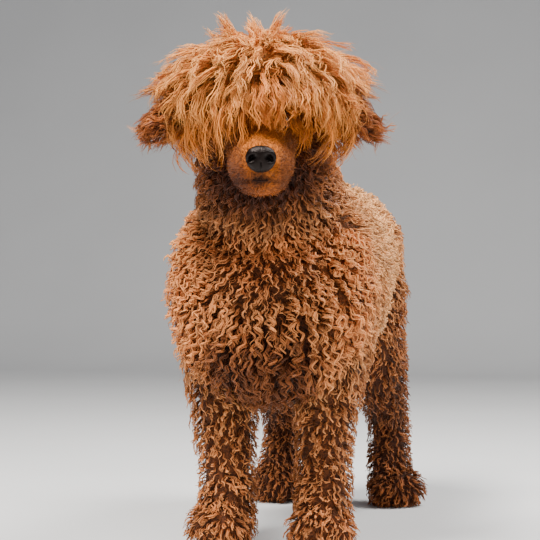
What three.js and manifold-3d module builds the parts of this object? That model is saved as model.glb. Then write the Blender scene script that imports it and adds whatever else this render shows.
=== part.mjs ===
// A standard poodle standing square with its head turned to its left, life size, in full curly coat.
// Millimetres, +Z up, the dog faces -Y and its left side is +X. The paws stand on z = 0.
import * as THREE from "three";
import { mergeVertices } from "three/addons/utils/BufferGeometryUtils.js";
import Module from "manifold-3d";

const wasm = await Module();
wasm.setup();

// Driving dimensions
const GAP = 0.3; // air left between two parts that touch
const CORE_SHARE = 0.45; // how far the smooth core reaches into the coat
const SET_CLOSE = 0.58; // half width of a clump as a share of the spacing
const LEAST_ROUND = 3.5; // fewest clumps round a limb
const LOWEST_ROOT = 9; // height above the floor below which no clump is rooted
const FORE_X = 74; // middle of a foreleg from the dog's middle
const HIND_X = 102; // middle of a hind paw
const HIND_Y = 484; // hind paws behind the forepaws
const PAW_TOP = 66; // height at which a paw ends and the leg begins
const ELBOW_Z = 214; // foreleg and torso part here
const STIFLE_Z = 318; // hind leg and torso part here
const HEAD_AT = [11, -131, 640]; // middle of the skull
const HEAD_TURN = 13; // degrees, towards the dog's left
const HEAD_NOD = 15; // degrees, nose down
const EYE_AT = [33, -53, -6]; // left eye, in the head's own frame
const EYE_R = 10.5;
const NOSE_AT = [0, -149, -46];
const NOSE_HALF = [19.5, 12, 17];
const SKULL_CUSHION = { at: [0, 24, 26], half: [97, 78, 76] }; // skull with the inner half of the topknot
const HAIR_BALL = { at: [0, 6, 16], half: [150, 116, 98] }; // outline that the topknot's tips reach
const MOUTH_Z = -79; // line of the lips at the front, in the head's frame

const X = new THREE.Vector3(1, 0, 0);
const UP = new THREE.Vector3(0, 0, 1);
const v3 = (a) => new THREE.Vector3(...a);
const rad = THREE.MathUtils.degToRad;

// The limbs and trunk as stations along a middle line: at, half width across, half depth, all of flesh,
// and the depth of coat over it.
const TORSO = [
  { at: [0, -96, 398], wide: 62, deep: 78, coat: 34 },
  { at: [0, -48, 386], wide: 112, deep: 130, coat: 42 },
  { at: [0, 20, 388], wide: 124, deep: 142, coat: 42 },
  { at: [0, 110, 397], wide: 122, deep: 138, coat: 40 },
  { at: [0, 210, 413], wide: 116, deep: 119, coat: 38 },
  { at: [0, 310, 432], wide: 108, deep: 101, coat: 36 },
  { at: [0, 400, 442], wide: 106, deep: 96, coat: 36 },
  { at: [0, 470, 446], wide: 92, deep: 84, coat: 36 },
  { at: [0, 518, 452], wide: 56, deep: 56, coat: 34 },
];
const NECK = [
  { at: [0, 52, 420], wide: 78, deep: 84, coat: 40 },
  { at: [0, 8, 486], wide: 76, deep: 78, coat: 40 },
  { at: [-3, -42, 545], wide: 68, deep: 68, coat: 40 },
  { at: [0, -80, 594], wide: 60, deep: 60, coat: 38 },
  { at: [4, -98, 630], wide: 50, deep: 50, coat: 30 },
];
const FORELEG = [
  { at: [88, 14, 380], wide: 40, deep: 58, coat: 28 },
  { at: [86, 18, 300], wide: 34, deep: 48, coat: 28 },
  { at: [80, 16, 236], wide: 27, deep: 34, coat: 28 },
  { at: [75, 10, 170], wide: 21, deep: 24, coat: 27 },
  { at: [74, 6, 105], wide: 19, deep: 21, coat: 27 },
  { at: [74, 0, 58], wide: 21, deep: 25, coat: 26 },
  { at: [74, -4, 20], wide: 22, deep: 28, coat: 26 },
];
const HIND_LEG = [
  { at: [72, 420, 452], wide: 40, deep: 66, coat: 30 },
  { at: [80, 398, 380], wide: 34, deep: 72, coat: 30 },
  { at: [86, 384, 316], wide: 30, deep: 58, coat: 28 },
  { at: [92, 404, 256], wide: 25, deep: 40, coat: 27 },
  { at: [94, 446, 200], wide: 19, deep: 27, coat: 26 },
  { at: [95, 492, 150], wide: 15, deep: 22, coat: 25 },
  { at: [97, 492, 100], wide: 15, deep: 20, coat: 25 },
  { at: [100, 484, 56], wide: 18, deep: 24, coat: 25 },
  { at: [102, 480, 20], wide: 20, deep: 28, coat: 25 },
];
const TAIL = [
  { at: [6, 462, 486], wide: 18, deep: 18, coat: 20 },
  { at: [-4, 500, 528], wide: 15, deep: 15, coat: 24 },
  { at: [-34, 534, 580], wide: 12, deep: 12, coat: 30 },
  { at: [-58, 550, 632], wide: 9, deep: 9, coat: 32 },
  { at: [-70, 552, 668], wide: 5, deep: 5, coat: 26 },
];
// A paw, lying along -Y from its heel, in its own frame on the floor.
const PAW = [
  { at: [0, 34, 26], wide: 17, deep: 22, coat: 20 },
  { at: [0, 8, 30], wide: 25, deep: 27, coat: 24 },
  { at: [0, -22, 26], wide: 29, deep: 24, coat: 25 },
  { at: [0, -46, 19], wide: 24, deep: 17, coat: 22 },
];
const MUZZLE = [
  { at: [0, -14, -40], wide: 52, deep: 44, coat: 0 },
  { at: [0, -58, -50], wide: 45, deep: 38, coat: 0 },
  { at: [0, -98, -56], wide: 40, deep: 36, coat: 0 },
  { at: [0, -130, -60], wide: 36, deep: 34, coat: 0 },
  { at: [0, -153, -63], wide: 26, deep: 25, coat: 0 },
];
// The left ear's flap, swung outwards: its middle line from the skull out and down. Its leather is
// broad from front to back and thin across.
const EAR = [
  { at: [80, 20, 12], wide: 9, deep: 28, coat: 14 },
  { at: [104, 18, 4], wide: 7, deep: 34, coat: 16 },
  { at: [128, 14, -14], wide: 6, deep: 34, coat: 18 },
  { at: [146, 12, -38], wide: 5, deep: 24, coat: 18 },
];

// Turns a closed BufferGeometry, in the frame of matrix, into a solid.
function solid(geometry, matrix = new THREE.Matrix4()) {
  const g = geometry.clone().applyMatrix4(matrix);
  for (const name of Object.keys(g.attributes)) if (name !== "position") g.deleteAttribute(name);
  const merged = mergeVertices(g, 1e-3);
  return new wasm.Manifold(
    new wasm.Mesh({
      numProp: 3,
      vertProperties: new Float32Array(merged.attributes.position.array),
      triVerts: new Uint32Array(merged.index.array),
    }),
  );
}

// Joins many solids two by two.
function join(solids) {
  if (solids.length === 1) return solids[0];
  const half = Math.ceil(solids.length / 2);
  return join(solids.slice(0, half)).add(join(solids.slice(half)));
}

// The largest closed surface of a solid, without its loose scraps and sealed hollows.
function largest(s) {
  return s.decompose().reduce((a, b) => (b.volume() > a.volume() ? b : a));
}

// A middle line with its half sizes, read by share t of the stations: the point, the tangent, the two
// directions across it, and the half sizes with share of the coat added.
function line(stations) {
  const middle = new THREE.CatmullRomCurve3(stations.map((s) => v3(s.at)));
  const sizes = new THREE.CatmullRomCurve3(stations.map((s) => new THREE.Vector3(s.wide, s.deep, s.coat)));
  return (t, share) => {
    const tangent = middle.getTangent(t);
    const side = X.clone().addScaledVector(tangent, -X.dot(tangent)).normalize();
    const size = sizes.getPoint(t);
    return {
      at: middle.getPoint(t),
      tangent,
      side,
      up: tangent.clone().cross(side),
      wide: size.x + share * size.z,
      deep: size.y + share * size.z,
      coat: size.z,
    };
  };
}

// How much of its full size a section has near a rounded end.
const roundedEnd = (t, cap) => Math.sqrt(Math.max(0, 1 - Math.max(0, 1 - t / cap, 1 - (1 - t) / cap) ** 2));

// The surface point of a body at share t of its middle line and at angle a round it.
function surface(stations, { share = 0, cap = 0.12 } = {}) {
  const at = line(stations);
  return (t, a) => {
    const s = at(t, share);
    const scale = roundedEnd(t, cap);
    return s.at
      .addScaledVector(s.side, Math.cos(a) * scale * s.wide)
      .addScaledVector(s.up, Math.sin(a) * scale * s.deep);
  };
}

// A closed smooth body round a middle line: a sphere's rows are laid along the line.
function body(stations, { share = 0, around = 16, along = 14, cap = 0.12, matrix } = {}) {
  const at = surface(stations, { share, cap });
  const g = new THREE.SphereGeometry(1, around, along);
  const p = g.attributes.position;
  for (let i = 0; i < p.count; i++) {
    const q = at((1 - p.getY(i)) / 2, Math.atan2(p.getZ(i), p.getX(i)));
    p.setXYZ(i, q.x, q.y, q.z);
  }
  return solid(g, matrix);
}

// Random numbers from 0 to 1, the same ones in every build.
function seeded(seed) {
  let a = seed;
  return () => {
    a = (a + 0x6d2b79f5) | 0;
    let t = Math.imul(a ^ (a >>> 15), 1 | a);
    t = (t + Math.imul(t ^ (t >>> 7), 61 | t)) ^ t;
    return ((t ^ (t >>> 14)) >>> 0) / 4294967296;
  };
}

// One rounded clump of curls: a dome with its root sunk in the core, leaning along the lie. Its rings,
// from the crown down: how wide and how high, as shares of radius and height.
const DOME = [
  { wide: 0, high: 1 },
  { wide: 0.74, high: 0.72 },
  { wide: 1, high: -0.25 },
  { wide: 0, high: -0.9 },
];
function clump(root, normal, lie, { radius, height, lean, drop }) {
  const across = normal.clone().cross(lie).normalize();
  const along = across.clone().cross(normal);
  const g = new THREE.SphereGeometry(1, 5, DOME.length - 1);
  const p = g.attributes.position;
  for (let i = 0; i < p.count; i++) {
    const row = Math.round((Math.acos(THREE.MathUtils.clamp(p.getY(i), -1, 1)) / Math.PI) * (DOME.length - 1));
    const { wide, high } = DOME[row];
    const size = (radius * wide) / (Math.hypot(p.getX(i), p.getZ(i)) || 1);
    const spread = across
      .clone()
      .multiplyScalar(p.getX(i) * size)
      .addScaledVector(along, p.getZ(i) * size * 1.2 + lean * Math.max(0, high));
    const q = root.clone().addScaledVector(normal, high * height - drop(spread)).add(spread);
    p.setXYZ(i, q.x, q.y, q.z);
  }
  return g;
}

// Rows of clumps over a body, set close and staggered, each as tall as the coat left over the core.
// The rows follow the outline of the body, so that its rounded ends are covered too, and they
// draw together where the body is thin.
const STEPS = 120;
function curls(stations, { from = 0, to = 1, spacing, seed, cap = 0.12, lie, matrix }) {
  const random = seeded(seed);
  const jitter = (size) => (random() - 0.5) * size;
  const at = surface(stations, { share: CORE_SHARE, cap });
  const sizes = line(stations);
  const outline = Array.from({ length: STEPS + 1 }, (_, i) => {
    const t = from + ((to - from) * i) / STEPS;
    const s = sizes(t, CORE_SHARE);
    const round = ((s.wide + s.deep) / 2) * roundedEnd(t, cap);
    const pitch = THREE.MathUtils.clamp((2 * Math.PI * round) / LEAST_ROUND, spacing * 0.6, spacing);
    return { t, s, round, pitch, run: 0 };
  });
  for (let i = 1; i <= STEPS; i++) {
    const [a, b] = [outline[i - 1], outline[i]];
    b.run = a.run + Math.hypot(a.s.at.distanceTo(b.s.at), b.round - a.round) / b.pitch;
  }
  const rows = Math.max(1, Math.round(outline[STEPS].run));
  const found = [];
  for (let row = 0; row < rows; row++) {
    const run = (outline[STEPS].run * (row + 0.5)) / rows;
    const { t, s, round, pitch } = outline.find((o) => o.run >= run);
    const count = Math.max(1, Math.round((2 * Math.PI * round) / pitch));
    for (let k = 0; k < count; k++) {
      const a = (2 * Math.PI * (k + (row % 2) / 2 + jitter(0.3))) / count;
      const u = THREE.MathUtils.clamp(t + (jitter(0.25) * (to - from)) / rows, 0.004, 0.996);
      const root = at(u, a);
      if (root.z < LOWEST_ROOT) continue;
      const onward = at(u + 0.003, a).sub(at(u - 0.003, a)).normalize();
      const girth = at(u, a + 0.05).sub(at(u, a - 0.05)).normalize();
      const normal = girth.clone().cross(onward).normalize();
      const onEnd = Math.min(u, 1 - u) < cap ? 1 : 0.1;
      const drop = (v) => (v.dot(girth) ** 2 + onEnd * v.dot(onward) ** 2) / (2.2 * Math.max(s.wide, s.deep));
      if (normal.dot(root.clone().sub(sizes(0.5 * (u + 0.5), 0).at)) < 0) normal.negate();
      const radius = pitch * (SET_CLOSE + jitter(0.08));
      const height = (1 - CORE_SHARE) * s.coat * (0.98 + jitter(0.16));
      found.push(solid(clump(root, normal, v3(lie), { radius, height, lean: pitch * 0.15, drop }), matrix));
    }
  }
  return found;
}

// One flat tapered lock that bends from root over knee to tip, its flat side to the way out.
function lock(root, knee, tip, out, { width, thick }) {
  const curve = new THREE.QuadraticBezierCurve3(root, knee, tip);
  const g = new THREE.SphereGeometry(1, 4, 4);
  const p = g.attributes.position;
  for (let i = 0; i < p.count; i++) {
    const t = Math.acos(THREE.MathUtils.clamp(p.getY(i), -1, 1)) / Math.PI;
    const ring = Math.hypot(p.getX(i), p.getZ(i)) || 1;
    const full = (Math.sin(Math.PI * t ** 0.7) + 1e-3) / ring;
    const tangent = curve.getTangent(t);
    const across = tangent.clone().cross(out).normalize();
    const q = curve
      .getPoint(t)
      .addScaledVector(across, (p.getX(i) * full * width) / 2)
      .addScaledVector(tangent.clone().cross(across), (p.getZ(i) * full * thick) / 2);
    p.setXYZ(i, q.x, q.y, q.z);
  }
  return solid(g);
}

const mirror = (stations) => stations.map((s) => ({ ...s, at: [-s.at[0], s.at[1], s.at[2]] }));
const ellipsoid = ({ at, half }, around = 20, along = 14) =>
  solid(
    new THREE.SphereGeometry(1, around, along),
    new THREE.Matrix4().makeTranslation(...at).multiply(new THREE.Matrix4().makeScale(...half)),
  );
const box = (low, high) =>
  solid(
    new THREE.BoxGeometry(high[0] - low[0], high[1] - low[1], high[2] - low[2]),
    new THREE.Matrix4().makeTranslation((low[0] + high[0]) / 2, (low[1] + high[1]) / 2, (low[2] + high[2]) / 2),
  );

// All of space on the side of a plane that its normal points to, as one great block.
const GREAT = 3000;
function side(point, normal, shift = 0) {
  const n = v3(normal).normalize();
  const turn = new THREE.Quaternion().setFromUnitVectors(UP, n);
  const middle = v3(point).addScaledVector(n, GREAT / 2 + shift);
  return solid(
    new THREE.BoxGeometry(GREAT, GREAT, GREAT),
    new THREE.Matrix4().compose(middle, turn, new THREE.Vector3(1, 1, 1)),
  );
}

// Cuts a whole along a cell's border, and leaves half the gap on each side.
function parted(whole, cell) {
  return [largest(whole.intersect(cell(-GAP / 2))), whole.subtract(cell(GAP / 2))];
}
const half = (point, normal) => (grow) => side(point, normal, -grow);
const block = (low, high) => (grow) =>
  box(
    low.map((x) => x - grow),
    high.map((x) => x + grow),
  );

// The two planes that part head, neck and torso.
const NAPE = { at: [6, -72, 572], normal: [0.04, -0.635, 0.771] };
const COLLAR = { at: [0, 0, 520], normal: [0, -0.6, 0.8] };

const headFrame = new THREE.Matrix4()
  .makeTranslation(...HEAD_AT)
  .multiply(new THREE.Matrix4().makeRotationZ(rad(HEAD_TURN)))
  .multiply(new THREE.Matrix4().makeRotationX(rad(HEAD_NOD)));
const toWorld = (s) => s.transform(headFrame.elements);
const fromWorld = (s) => s.transform(headFrame.clone().invert().elements);

// Places of the four paws: which side, and how far each toe turns out.
const PAWS = {
  forepaw_right: { x: -FORE_X, y: -6, turn: -24 },
  forepaw_left: { x: FORE_X, y: -6, turn: 6 },
  hindpaw_right: { x: -HIND_X, y: HIND_Y + 4, turn: -20 },
  hindpaw_left: { x: HIND_X + 4, y: HIND_Y - 6, turn: 30 },
};
const pawFrame = ({ x, y, turn }) =>
  new THREE.Matrix4().makeTranslation(x, y, 0).multiply(new THREE.Matrix4().makeRotationZ(rad(turn)));

// Each limb's core and coat: its stations, how finely the core is cut, and how its clumps lie.
const COATED = [
  { stations: TORSO, core: { around: 14, along: 11 }, coat: { spacing: 106, seed: 11, lie: [0, 0.7, -1] } },
  { stations: NECK, core: { around: 12, along: 6 }, coat: { spacing: 88, seed: 12, lie: [0, 0.2, -1], from: 0.25 } },
  ...[FORELEG, mirror(FORELEG)].map((stations, i) => ({
    stations,
    core: { around: 8, along: 7 },
    coat: { spacing: 78, seed: 21 + i, lie: [0, 0.1, -1], from: 0.32, to: 0.84 },
  })),
  ...[HIND_LEG, mirror(HIND_LEG)].map((stations, i) => ({
    stations,
    core: { around: 8, along: 10 },
    coat: { spacing: 96, seed: 31 + i, lie: [0, 0.25, -1], from: 0.28, to: 0.88 },
  })),
  { stations: TAIL, core: { around: 8, along: 8 }, coat: { spacing: 80, seed: 41, lie: [-0.3, 0.3, 1], from: 0.25 } },
  ...Object.values(PAWS).map((p, i) => ({
    stations: PAW,
    core: { around: 8, along: 6, cap: 0.3, matrix: pawFrame(p) },
    coat: { spacing: 84, seed: 51 + i, lie: [0, -1, -0.4], cap: 0.3, matrix: pawFrame(p) },
  })),
];

function makeBody() {
  const solids = COATED.flatMap(({ stations, core, coat }) => [
    body(stations, { share: CORE_SHARE, ...core }),
    ...curls(stations, coat),
  ]);
  return join(solids).intersect(side([0, 0, 0], [0, 0, 1]));
}

// The eyeball's socket, lids as two rings of flesh, and the ball itself.
function eyeRing(sign) {
  const at = new THREE.Vector3(sign * EYE_AT[0], EYE_AT[1], EYE_AT[2]);
  const out = new THREE.Vector3(sign * 0.42, -0.9, 0.1).normalize();
  const turn = new THREE.Quaternion().setFromUnitVectors(UP, out);
  return solid(
    new THREE.TorusGeometry(EYE_R - 0.5, 3.2, 4, 12),
    new THREE.Matrix4().compose(at.addScaledVector(out, 4), turn, new THREE.Vector3(1.12, 0.86, 1)),
  );
}
const eyeBall = (sign, grow = 0) =>
  ellipsoid({ at: [sign * EYE_AT[0], EYE_AT[1], EYE_AT[2]], half: Array(3).fill(EYE_R + grow) }, 12, 8);

// The nose leather, grown a little when it is used to cut its seat.
function nosePad(grow = 0) {
  return ellipsoid({ at: NOSE_AT, half: NOSE_HALF.map((h) => h + grow) }, 12, 8);
}
function nose() {
  const nostril = (sign) =>
    ellipsoid({ at: [sign * 8.6, NOSE_AT[1] - 10, NOSE_AT[2] - 1], half: [4.6, 7, 3.6] }, 8, 6).add(
      ellipsoid({ at: [sign * 14.5, NOSE_AT[1] - 8, NOSE_AT[2] - 3.5], half: [5.5, 6, 1.5] }, 6, 4),
    );
  const groove = box([-0.8, NOSE_AT[1] - 14, NOSE_AT[2] - 20], [0.8, NOSE_AT[1] - 9.5, NOSE_AT[2] - 3]);
  return largest(nosePad().subtract(nostril(1)).subtract(nostril(-1)).subtract(groove));
}

// The direction at polar angle down from the crown and at angle a round it, a = 0 being the dog's face.
function fromCrown(down, a) {
  const d = rad(down);
  const flat = new THREE.Vector3(Math.sin(d) * Math.sin(a), -Math.sin(d) * Math.cos(a), Math.cos(d));
  return flat.applyAxisAngle(X, -rad(HEAD_NOD));
}
const onBall = ({ at, half }, way, scale = 1) => way.clone().multiply(v3(half)).multiplyScalar(scale).add(v3(at));

// Rows of the topknot: angle down from the crown at the root, how many, how far they fall.
const TOPKNOT_ROWS = [
  { down: 6, count: 3, fall: 12, reach: 1.03, knee: 0.98 },
  { down: 30, count: 6, fall: 26, reach: 1.02, knee: 0.97 },
  { down: 54, count: 8, fall: 30, reach: 1.0, knee: 0.94 },
  { down: 80, count: 10, fall: 30, reach: 0.96, knee: 0.9 },
  { down: 106, count: 8, fall: 24, reach: 0.92, knee: 0.86 },
];
function topknot() {
  const random = seeded(63);
  const jitter = (size) => (random() - 0.5) * size;
  return TOPKNOT_ROWS.flatMap(({ down, count, fall, reach, knee: bend }, row) =>
    Array.from({ length: count }, (_, k) => {
      const a = (2 * Math.PI * (k + (row % 2) / 2 + jitter(0.35))) / count;
      const drop = fall * (1 + jitter(0.4));
      const tip = onBall(HAIR_BALL, fromCrown(down + drop, a + jitter(0.2)), reach * (1 + jitter(0.1)));
      const knee = onBall(HAIR_BALL, fromCrown(down + drop * 0.35, a), bend);
      if (Math.abs(tip.x) > 84 && tip.z < 30) tip.z = 30 + 8 * random();
      const root = onBall(SKULL_CUSHION, fromCrown(down, a), 0.82);
      const piece = lock(root, knee, tip, fromCrown(down + 12, a), { width: 62, thick: 22 });
      const before = tip.y < -50 && tip.z < 14;
      return before ? [] : [piece];
    }).flat(),
  );
}

// The fringe that falls over the brow. It leaves the left eye in a gap.
const FRINGE = [
  { x: -66, tip: [-78, -80, -34] },
  { x: -36, tip: [-42, -98, -36] },
  { x: -10, tip: [-12, -108, -30] },
  { x: 14, tip: [10, -106, -26] },
  { x: 58, tip: [66, -88, -34] },
];
function fringe() {
  return FRINGE.map(({ x, tip }) => {
    const root = new THREE.Vector3(x * 0.8, -28, 48);
    const knee = new THREE.Vector3(x * 1.15, -118 + Math.abs(x) * 0.3, 42);
    return lock(root, knee, v3(tip), new THREE.Vector3(x * 0.008, -1, 0.5), { width: 42, thick: 16 });
  });
}

function makeHead() {
  const pieces = [
    ellipsoid(SKULL_CUSHION, 12, 8),
    ellipsoid({ at: [0, -5, -14], half: [56, 64, 48] }, 10, 7),
    body(MUZZLE, { around: 12, along: 7, cap: 0.16 }),
    eyeRing(1),
    eyeRing(-1),
    ...topknot(),
    ...fringe(),
  ];
  const lips = box([-60, -175, MOUTH_Z - 0.8], [60, -88, MOUTH_Z + 0.8]);
  const inner = MUZZLE.map((s) => ({ ...s, wide: s.wide - 4, deep: s.deep - 4 }));
  return join(pieces).subtract(lips.subtract(body(inner, { around: 10, along: 6, cap: 0.18 })));
}

// The room before the face that the hair of the neck leaves free.
const faceSpace = ellipsoid({ at: [0, -152, -14], half: [104, 112, 70] }, 12, 8);
const earCell = (sign) => (grow) =>
  sign > 0 ? box([90 - grow, -200, -120], [260, 200, 24 + grow]) : box([-260, -200, -120], [-90 + grow, 200, 24 + grow]);

// Locks of an ear's hair: where on the flap's middle line each is rooted, how far forward or back,
// and where its tip hangs.
const EAR_LOCKS = [
  { from: 0.35, aside: -22, tip: [158, -22, 16] },
  { from: 0.6, aside: -22, tip: [182, -16, -14] },
  { from: 0.75, aside: -18, tip: [174, -24, -48] },
  { from: 0.7, aside: -10, tip: [148, -18, -74] },
  { from: 0.45, aside: 20, tip: [168, 44, 6] },
  { from: 0.65, aside: 18, tip: [184, 38, -28] },
  { from: 0.75, aside: 14, tip: [164, 42, -60] },
  { from: 0.55, aside: 20, tip: [132, 44, -72] },
  { from: 0.6, aside: 0, tip: [185, 10, 2] },
  { from: 0.85, aside: 0, tip: [178, 12, -62] },
];
function makeEar(sign) {
  const random = seeded(sign > 0 ? 75 : 72);
  const stations = sign > 0 ? EAR : mirror(EAR);
  const flapLine = line(stations);
  const out = new THREE.Vector3(sign * 0.75, 0, 0.66);
  const locks = EAR_LOCKS.map(({ from, aside, tip: [x, y, z] }) => {
    const root = flapLine(from, 0).at.add(new THREE.Vector3(0, aside, 0));
    const tip = new THREE.Vector3(sign * (x + 4 * random() - 2), y, z - 5 * random());
    const knee = root.clone().lerp(tip, 0.5).addScaledVector(out, 15);
    return lock(root, knee, tip, out, { width: 60, thick: 22 });
  });
  const flap = body(stations, { share: CORE_SHARE, around: 10, along: 7, cap: 0.2 });
  const cup = ellipsoid({ at: [sign * 100, 15, -38], half: [30, 24, 32] }, 10, 6);
  return join([flap, ...locks]).subtract(cup);
}

const FUR = new THREE.Color(0.58, 0.3, 0.13);
const FACE = new THREE.Color(0.5, 0.22, 0.07);
const EAR_RED = new THREE.Color(0.5, 0.2, 0.06);
const coat = (color) => new THREE.MeshStandardMaterial({ color, roughness: 0.85, metalness: 0 });
const looks = {
  fur: coat(FUR),
  face: coat(FACE),
  ear: coat(EAR_RED),
  nose: new THREE.MeshStandardMaterial({ color: 0x1a1416, roughness: 0.35, metalness: 0 }),
  eye: new THREE.MeshStandardMaterial({ color: 0x1c0f08, roughness: 0.08, metalness: 0 }),
};

function geometryOf(s) {
  const m = s.getMesh();
  const g = new THREE.BufferGeometry();
  g.setAttribute("position", new THREE.BufferAttribute(new Float32Array(m.vertProperties), 3));
  g.setIndex(new THREE.BufferAttribute(new Uint32Array(m.triVerts), 1));
  g.computeVertexNormals();
  return g;
}

const parts = [];
const show = (name, s, material) => parts.push({ name, s, material });

let rest = makeBody();
const above = half(NAPE.at, NAPE.normal);
const beyondCollar = half(COLLAR.at, COLLAR.normal);
const [headHair, belowHead] = parted(rest, above);
rest = belowHead;
const cells = [
  ["forepaw_left", block([4, -200, -5], [260, 200, PAW_TOP])],
  ["forepaw_right", block([-260, -200, -5], [-4, 200, PAW_TOP])],
  ["hindpaw_left", block([4, 300, -5], [260, 700, PAW_TOP])],
  ["hindpaw_right", block([-260, 300, -5], [-4, 700, PAW_TOP])],
  ["foreleg_left", block([16, -140, PAW_TOP], [260, 150, ELBOW_Z])],
  ["foreleg_right", block([-260, -140, PAW_TOP], [-16, 150, ELBOW_Z])],
  ["hindleg_left", block([26, 290, PAW_TOP], [260, 700, STIFLE_Z])],
  ["hindleg_right", block([-260, 290, PAW_TOP], [-26, 700, STIFLE_Z])],
  ["tail", (grow) => side([-4, 513, 540], [-0.18, 0.55, 0.81], -grow).intersect(box([-160, 440, 520], [100, 800, 900]))],
  ["neck", beyondCollar],
];
for (const [name, cell] of cells) {
  const [piece, left] = parted(rest, cell);
  show(name, piece, looks.fur);
  rest = left;
}
show("torso", largest(rest), looks.fur);

let head = makeHead().intersect(fromWorld(above(-GAP / 2))).add(fromWorld(headHair).subtract(faceSpace));
head = head.subtract(nosePad(GAP)).subtract(eyeBall(1, GAP)).subtract(eyeBall(-1, GAP));
for (const [name, sign] of [["ear_left", 1], ["ear_right", -1]]) {
  const cell = earCell(sign);
  show(name, toWorld(largest(makeEar(sign).intersect(cell(-GAP / 2)))), looks.ear);
  head = head.subtract(cell(GAP / 2));
}
show("head", largest(toWorld(head)), looks.face);
show("nose", toWorld(nose()), looks.nose);
show("eye_left", toWorld(eyeBall(1)), looks.eye);
show("eye_right", toWorld(eyeBall(-1)), looks.eye);

// The whole is set so that the middle of its foot print is the origin.
const box3 = new THREE.Box3();
for (const { s } of parts) {
  const { min, max } = s.boundingBox();
  box3.expandByPoint(v3(min)).expandByPoint(v3(max));
}
const middle = box3.getCenter(new THREE.Vector3());

// Welds a solid at its last place, until welding leaves it as it is. Points that meet there can
// pinch off a hollow, which is dropped.
function welded(s) {
  const next = largest(solid(geometryOf(s)));
  return next.numTri() === s.numTri() ? next : welded(next);
}

const dog = new THREE.Group();
for (const { name, s, material } of parts) {
  const mesh = new THREE.Mesh(geometryOf(welded(s.translate([-middle.x, -middle.y, -box3.min.z]))), material);
  mesh.name = name;
  dog.add(mesh);
}

export default dog;
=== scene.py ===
"""A life-size standard poodle: one skin, a coat of waved and curled strands, ears, eyes, lids and nose.

Everything is worked out in millimetres in the dog's own frame (it faces -Y, its left is +X, the floor
is z = 0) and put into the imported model's frame in metres by one matrix.
"""

import logging
import math
from dataclasses import dataclass, field, fields, replace
from enum import Enum, IntEnum

import bpy
import numpy as np
from mathutils import Matrix, Vector


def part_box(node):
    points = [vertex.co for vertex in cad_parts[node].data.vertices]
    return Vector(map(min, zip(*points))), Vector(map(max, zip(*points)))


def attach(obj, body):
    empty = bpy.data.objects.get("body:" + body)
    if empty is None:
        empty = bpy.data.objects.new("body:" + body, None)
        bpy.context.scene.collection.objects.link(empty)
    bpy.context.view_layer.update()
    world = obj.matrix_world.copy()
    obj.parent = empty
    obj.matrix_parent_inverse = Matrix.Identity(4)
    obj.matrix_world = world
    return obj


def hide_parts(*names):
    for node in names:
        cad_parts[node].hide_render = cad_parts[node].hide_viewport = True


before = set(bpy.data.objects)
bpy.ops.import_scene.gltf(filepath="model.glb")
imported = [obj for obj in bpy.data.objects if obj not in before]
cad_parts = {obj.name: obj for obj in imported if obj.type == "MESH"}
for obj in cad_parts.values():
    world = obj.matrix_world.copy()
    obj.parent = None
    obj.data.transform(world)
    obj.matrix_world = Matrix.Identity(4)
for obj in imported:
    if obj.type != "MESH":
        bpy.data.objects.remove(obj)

log = logging.getLogger("poodle")
Array = np.ndarray
Triple = tuple[float, float, float]
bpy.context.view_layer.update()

STEPS = 25  # points on the middle line of a lock or of a strand
BLOCK = 2048  # points that are compared at once
LIMB_GRID = 40  # faces round a limb, and along it
LIMB_READINGS = 49  # places on a limb's line that a point is held against
BLOB_GRID = (48, 32)  # faces round an ellipsoid, and along it
SKIN_SHARE = 0.5  # how far the skin is set out into the coat, as a share of the coat's depth
HEAD_AT = (11.0, -131.0, 640.0)
HEAD_TURN = 13.0
HEAD_NOD = 15.0
EYE_AT = (33.0, -53.0, -6.0)  # the left eye, in the head's mm, as are the places and half sizes below
EYE_GAZE = (0.42, -0.9, 0.1)
EYE_R = 10.5
NOSE_AT, NOSE_HALF = (0.0, -149.0, -46.0), (21.0, 12.5, 18.4)
SKULL_AT, SKULL_HALF = (0.0, -5.0, -14.0), (53.0, 61.0, 45.0)
CUSHION_AT, CUSHION_HALF = (0.0, 24.0, 26.0), (92.0, 73.0, 71.0)  # the flesh and wool under the mop
BALL_AT, BALL_HALF = (0.0, 6.0, 16.0), (150.0, 116.0, 98.0)  # the ball that the mop's hair swells to
CHIN_AT, CHIN_STRETCH = (0.0, -104.0, -104.0), (1.1, 1.3, 1.0)
LIP_LEVEL = -74.5


def turn(axis: str, degrees: float) -> Matrix:
    """A turn about one axis, as a 4x4 matrix."""
    return Matrix.Rotation(math.radians(degrees), 4, axis)


HEAD_FRAME = Matrix.Translation(HEAD_AT) @ turn("Z", HEAD_TURN) @ turn("X", HEAD_NOD)


def into_row_frame() -> Matrix:
    """The matrix from the dog's millimetres to the model's metres, found from the left eye's CAD node."""
    low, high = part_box("eye_left")
    shift = (low + high) / 2 - (HEAD_FRAME @ Vector(EYE_AT)) / 1000
    return Matrix.Translation(shift) @ Matrix.Scale(0.001, 4)


ROW = into_row_frame()
HEAD = ROW @ HEAD_FRAME
HEAD_AXES = np.array(HEAD)[:3, :3].T  # turns a row of the head's mm into metres, without the shift
TILT = np.array(turn("X", HEAD_NOD))[:3, :3]


def moved(points: Array, matrix: Matrix) -> Array:
    """Points moved by a matrix, an array of any shape that ends in 3."""
    m = np.array(matrix)
    return points @ m[:3, :3].T + m[:3, 3]


def unit(v: Array) -> Array:
    """Vectors made one long."""
    return v / np.maximum(np.linalg.norm(v, axis=-1, keepdims=True), 1e-12)


def dot(a: Array, b: Array) -> Array:
    """Row by row products, kept as a column."""
    return (a * b).sum(-1, keepdims=True)


def upright(values: Array) -> Array:
    """One number for each row, as a column that scales whole rows."""
    return np.asarray(values, float)[:, None]


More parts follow.
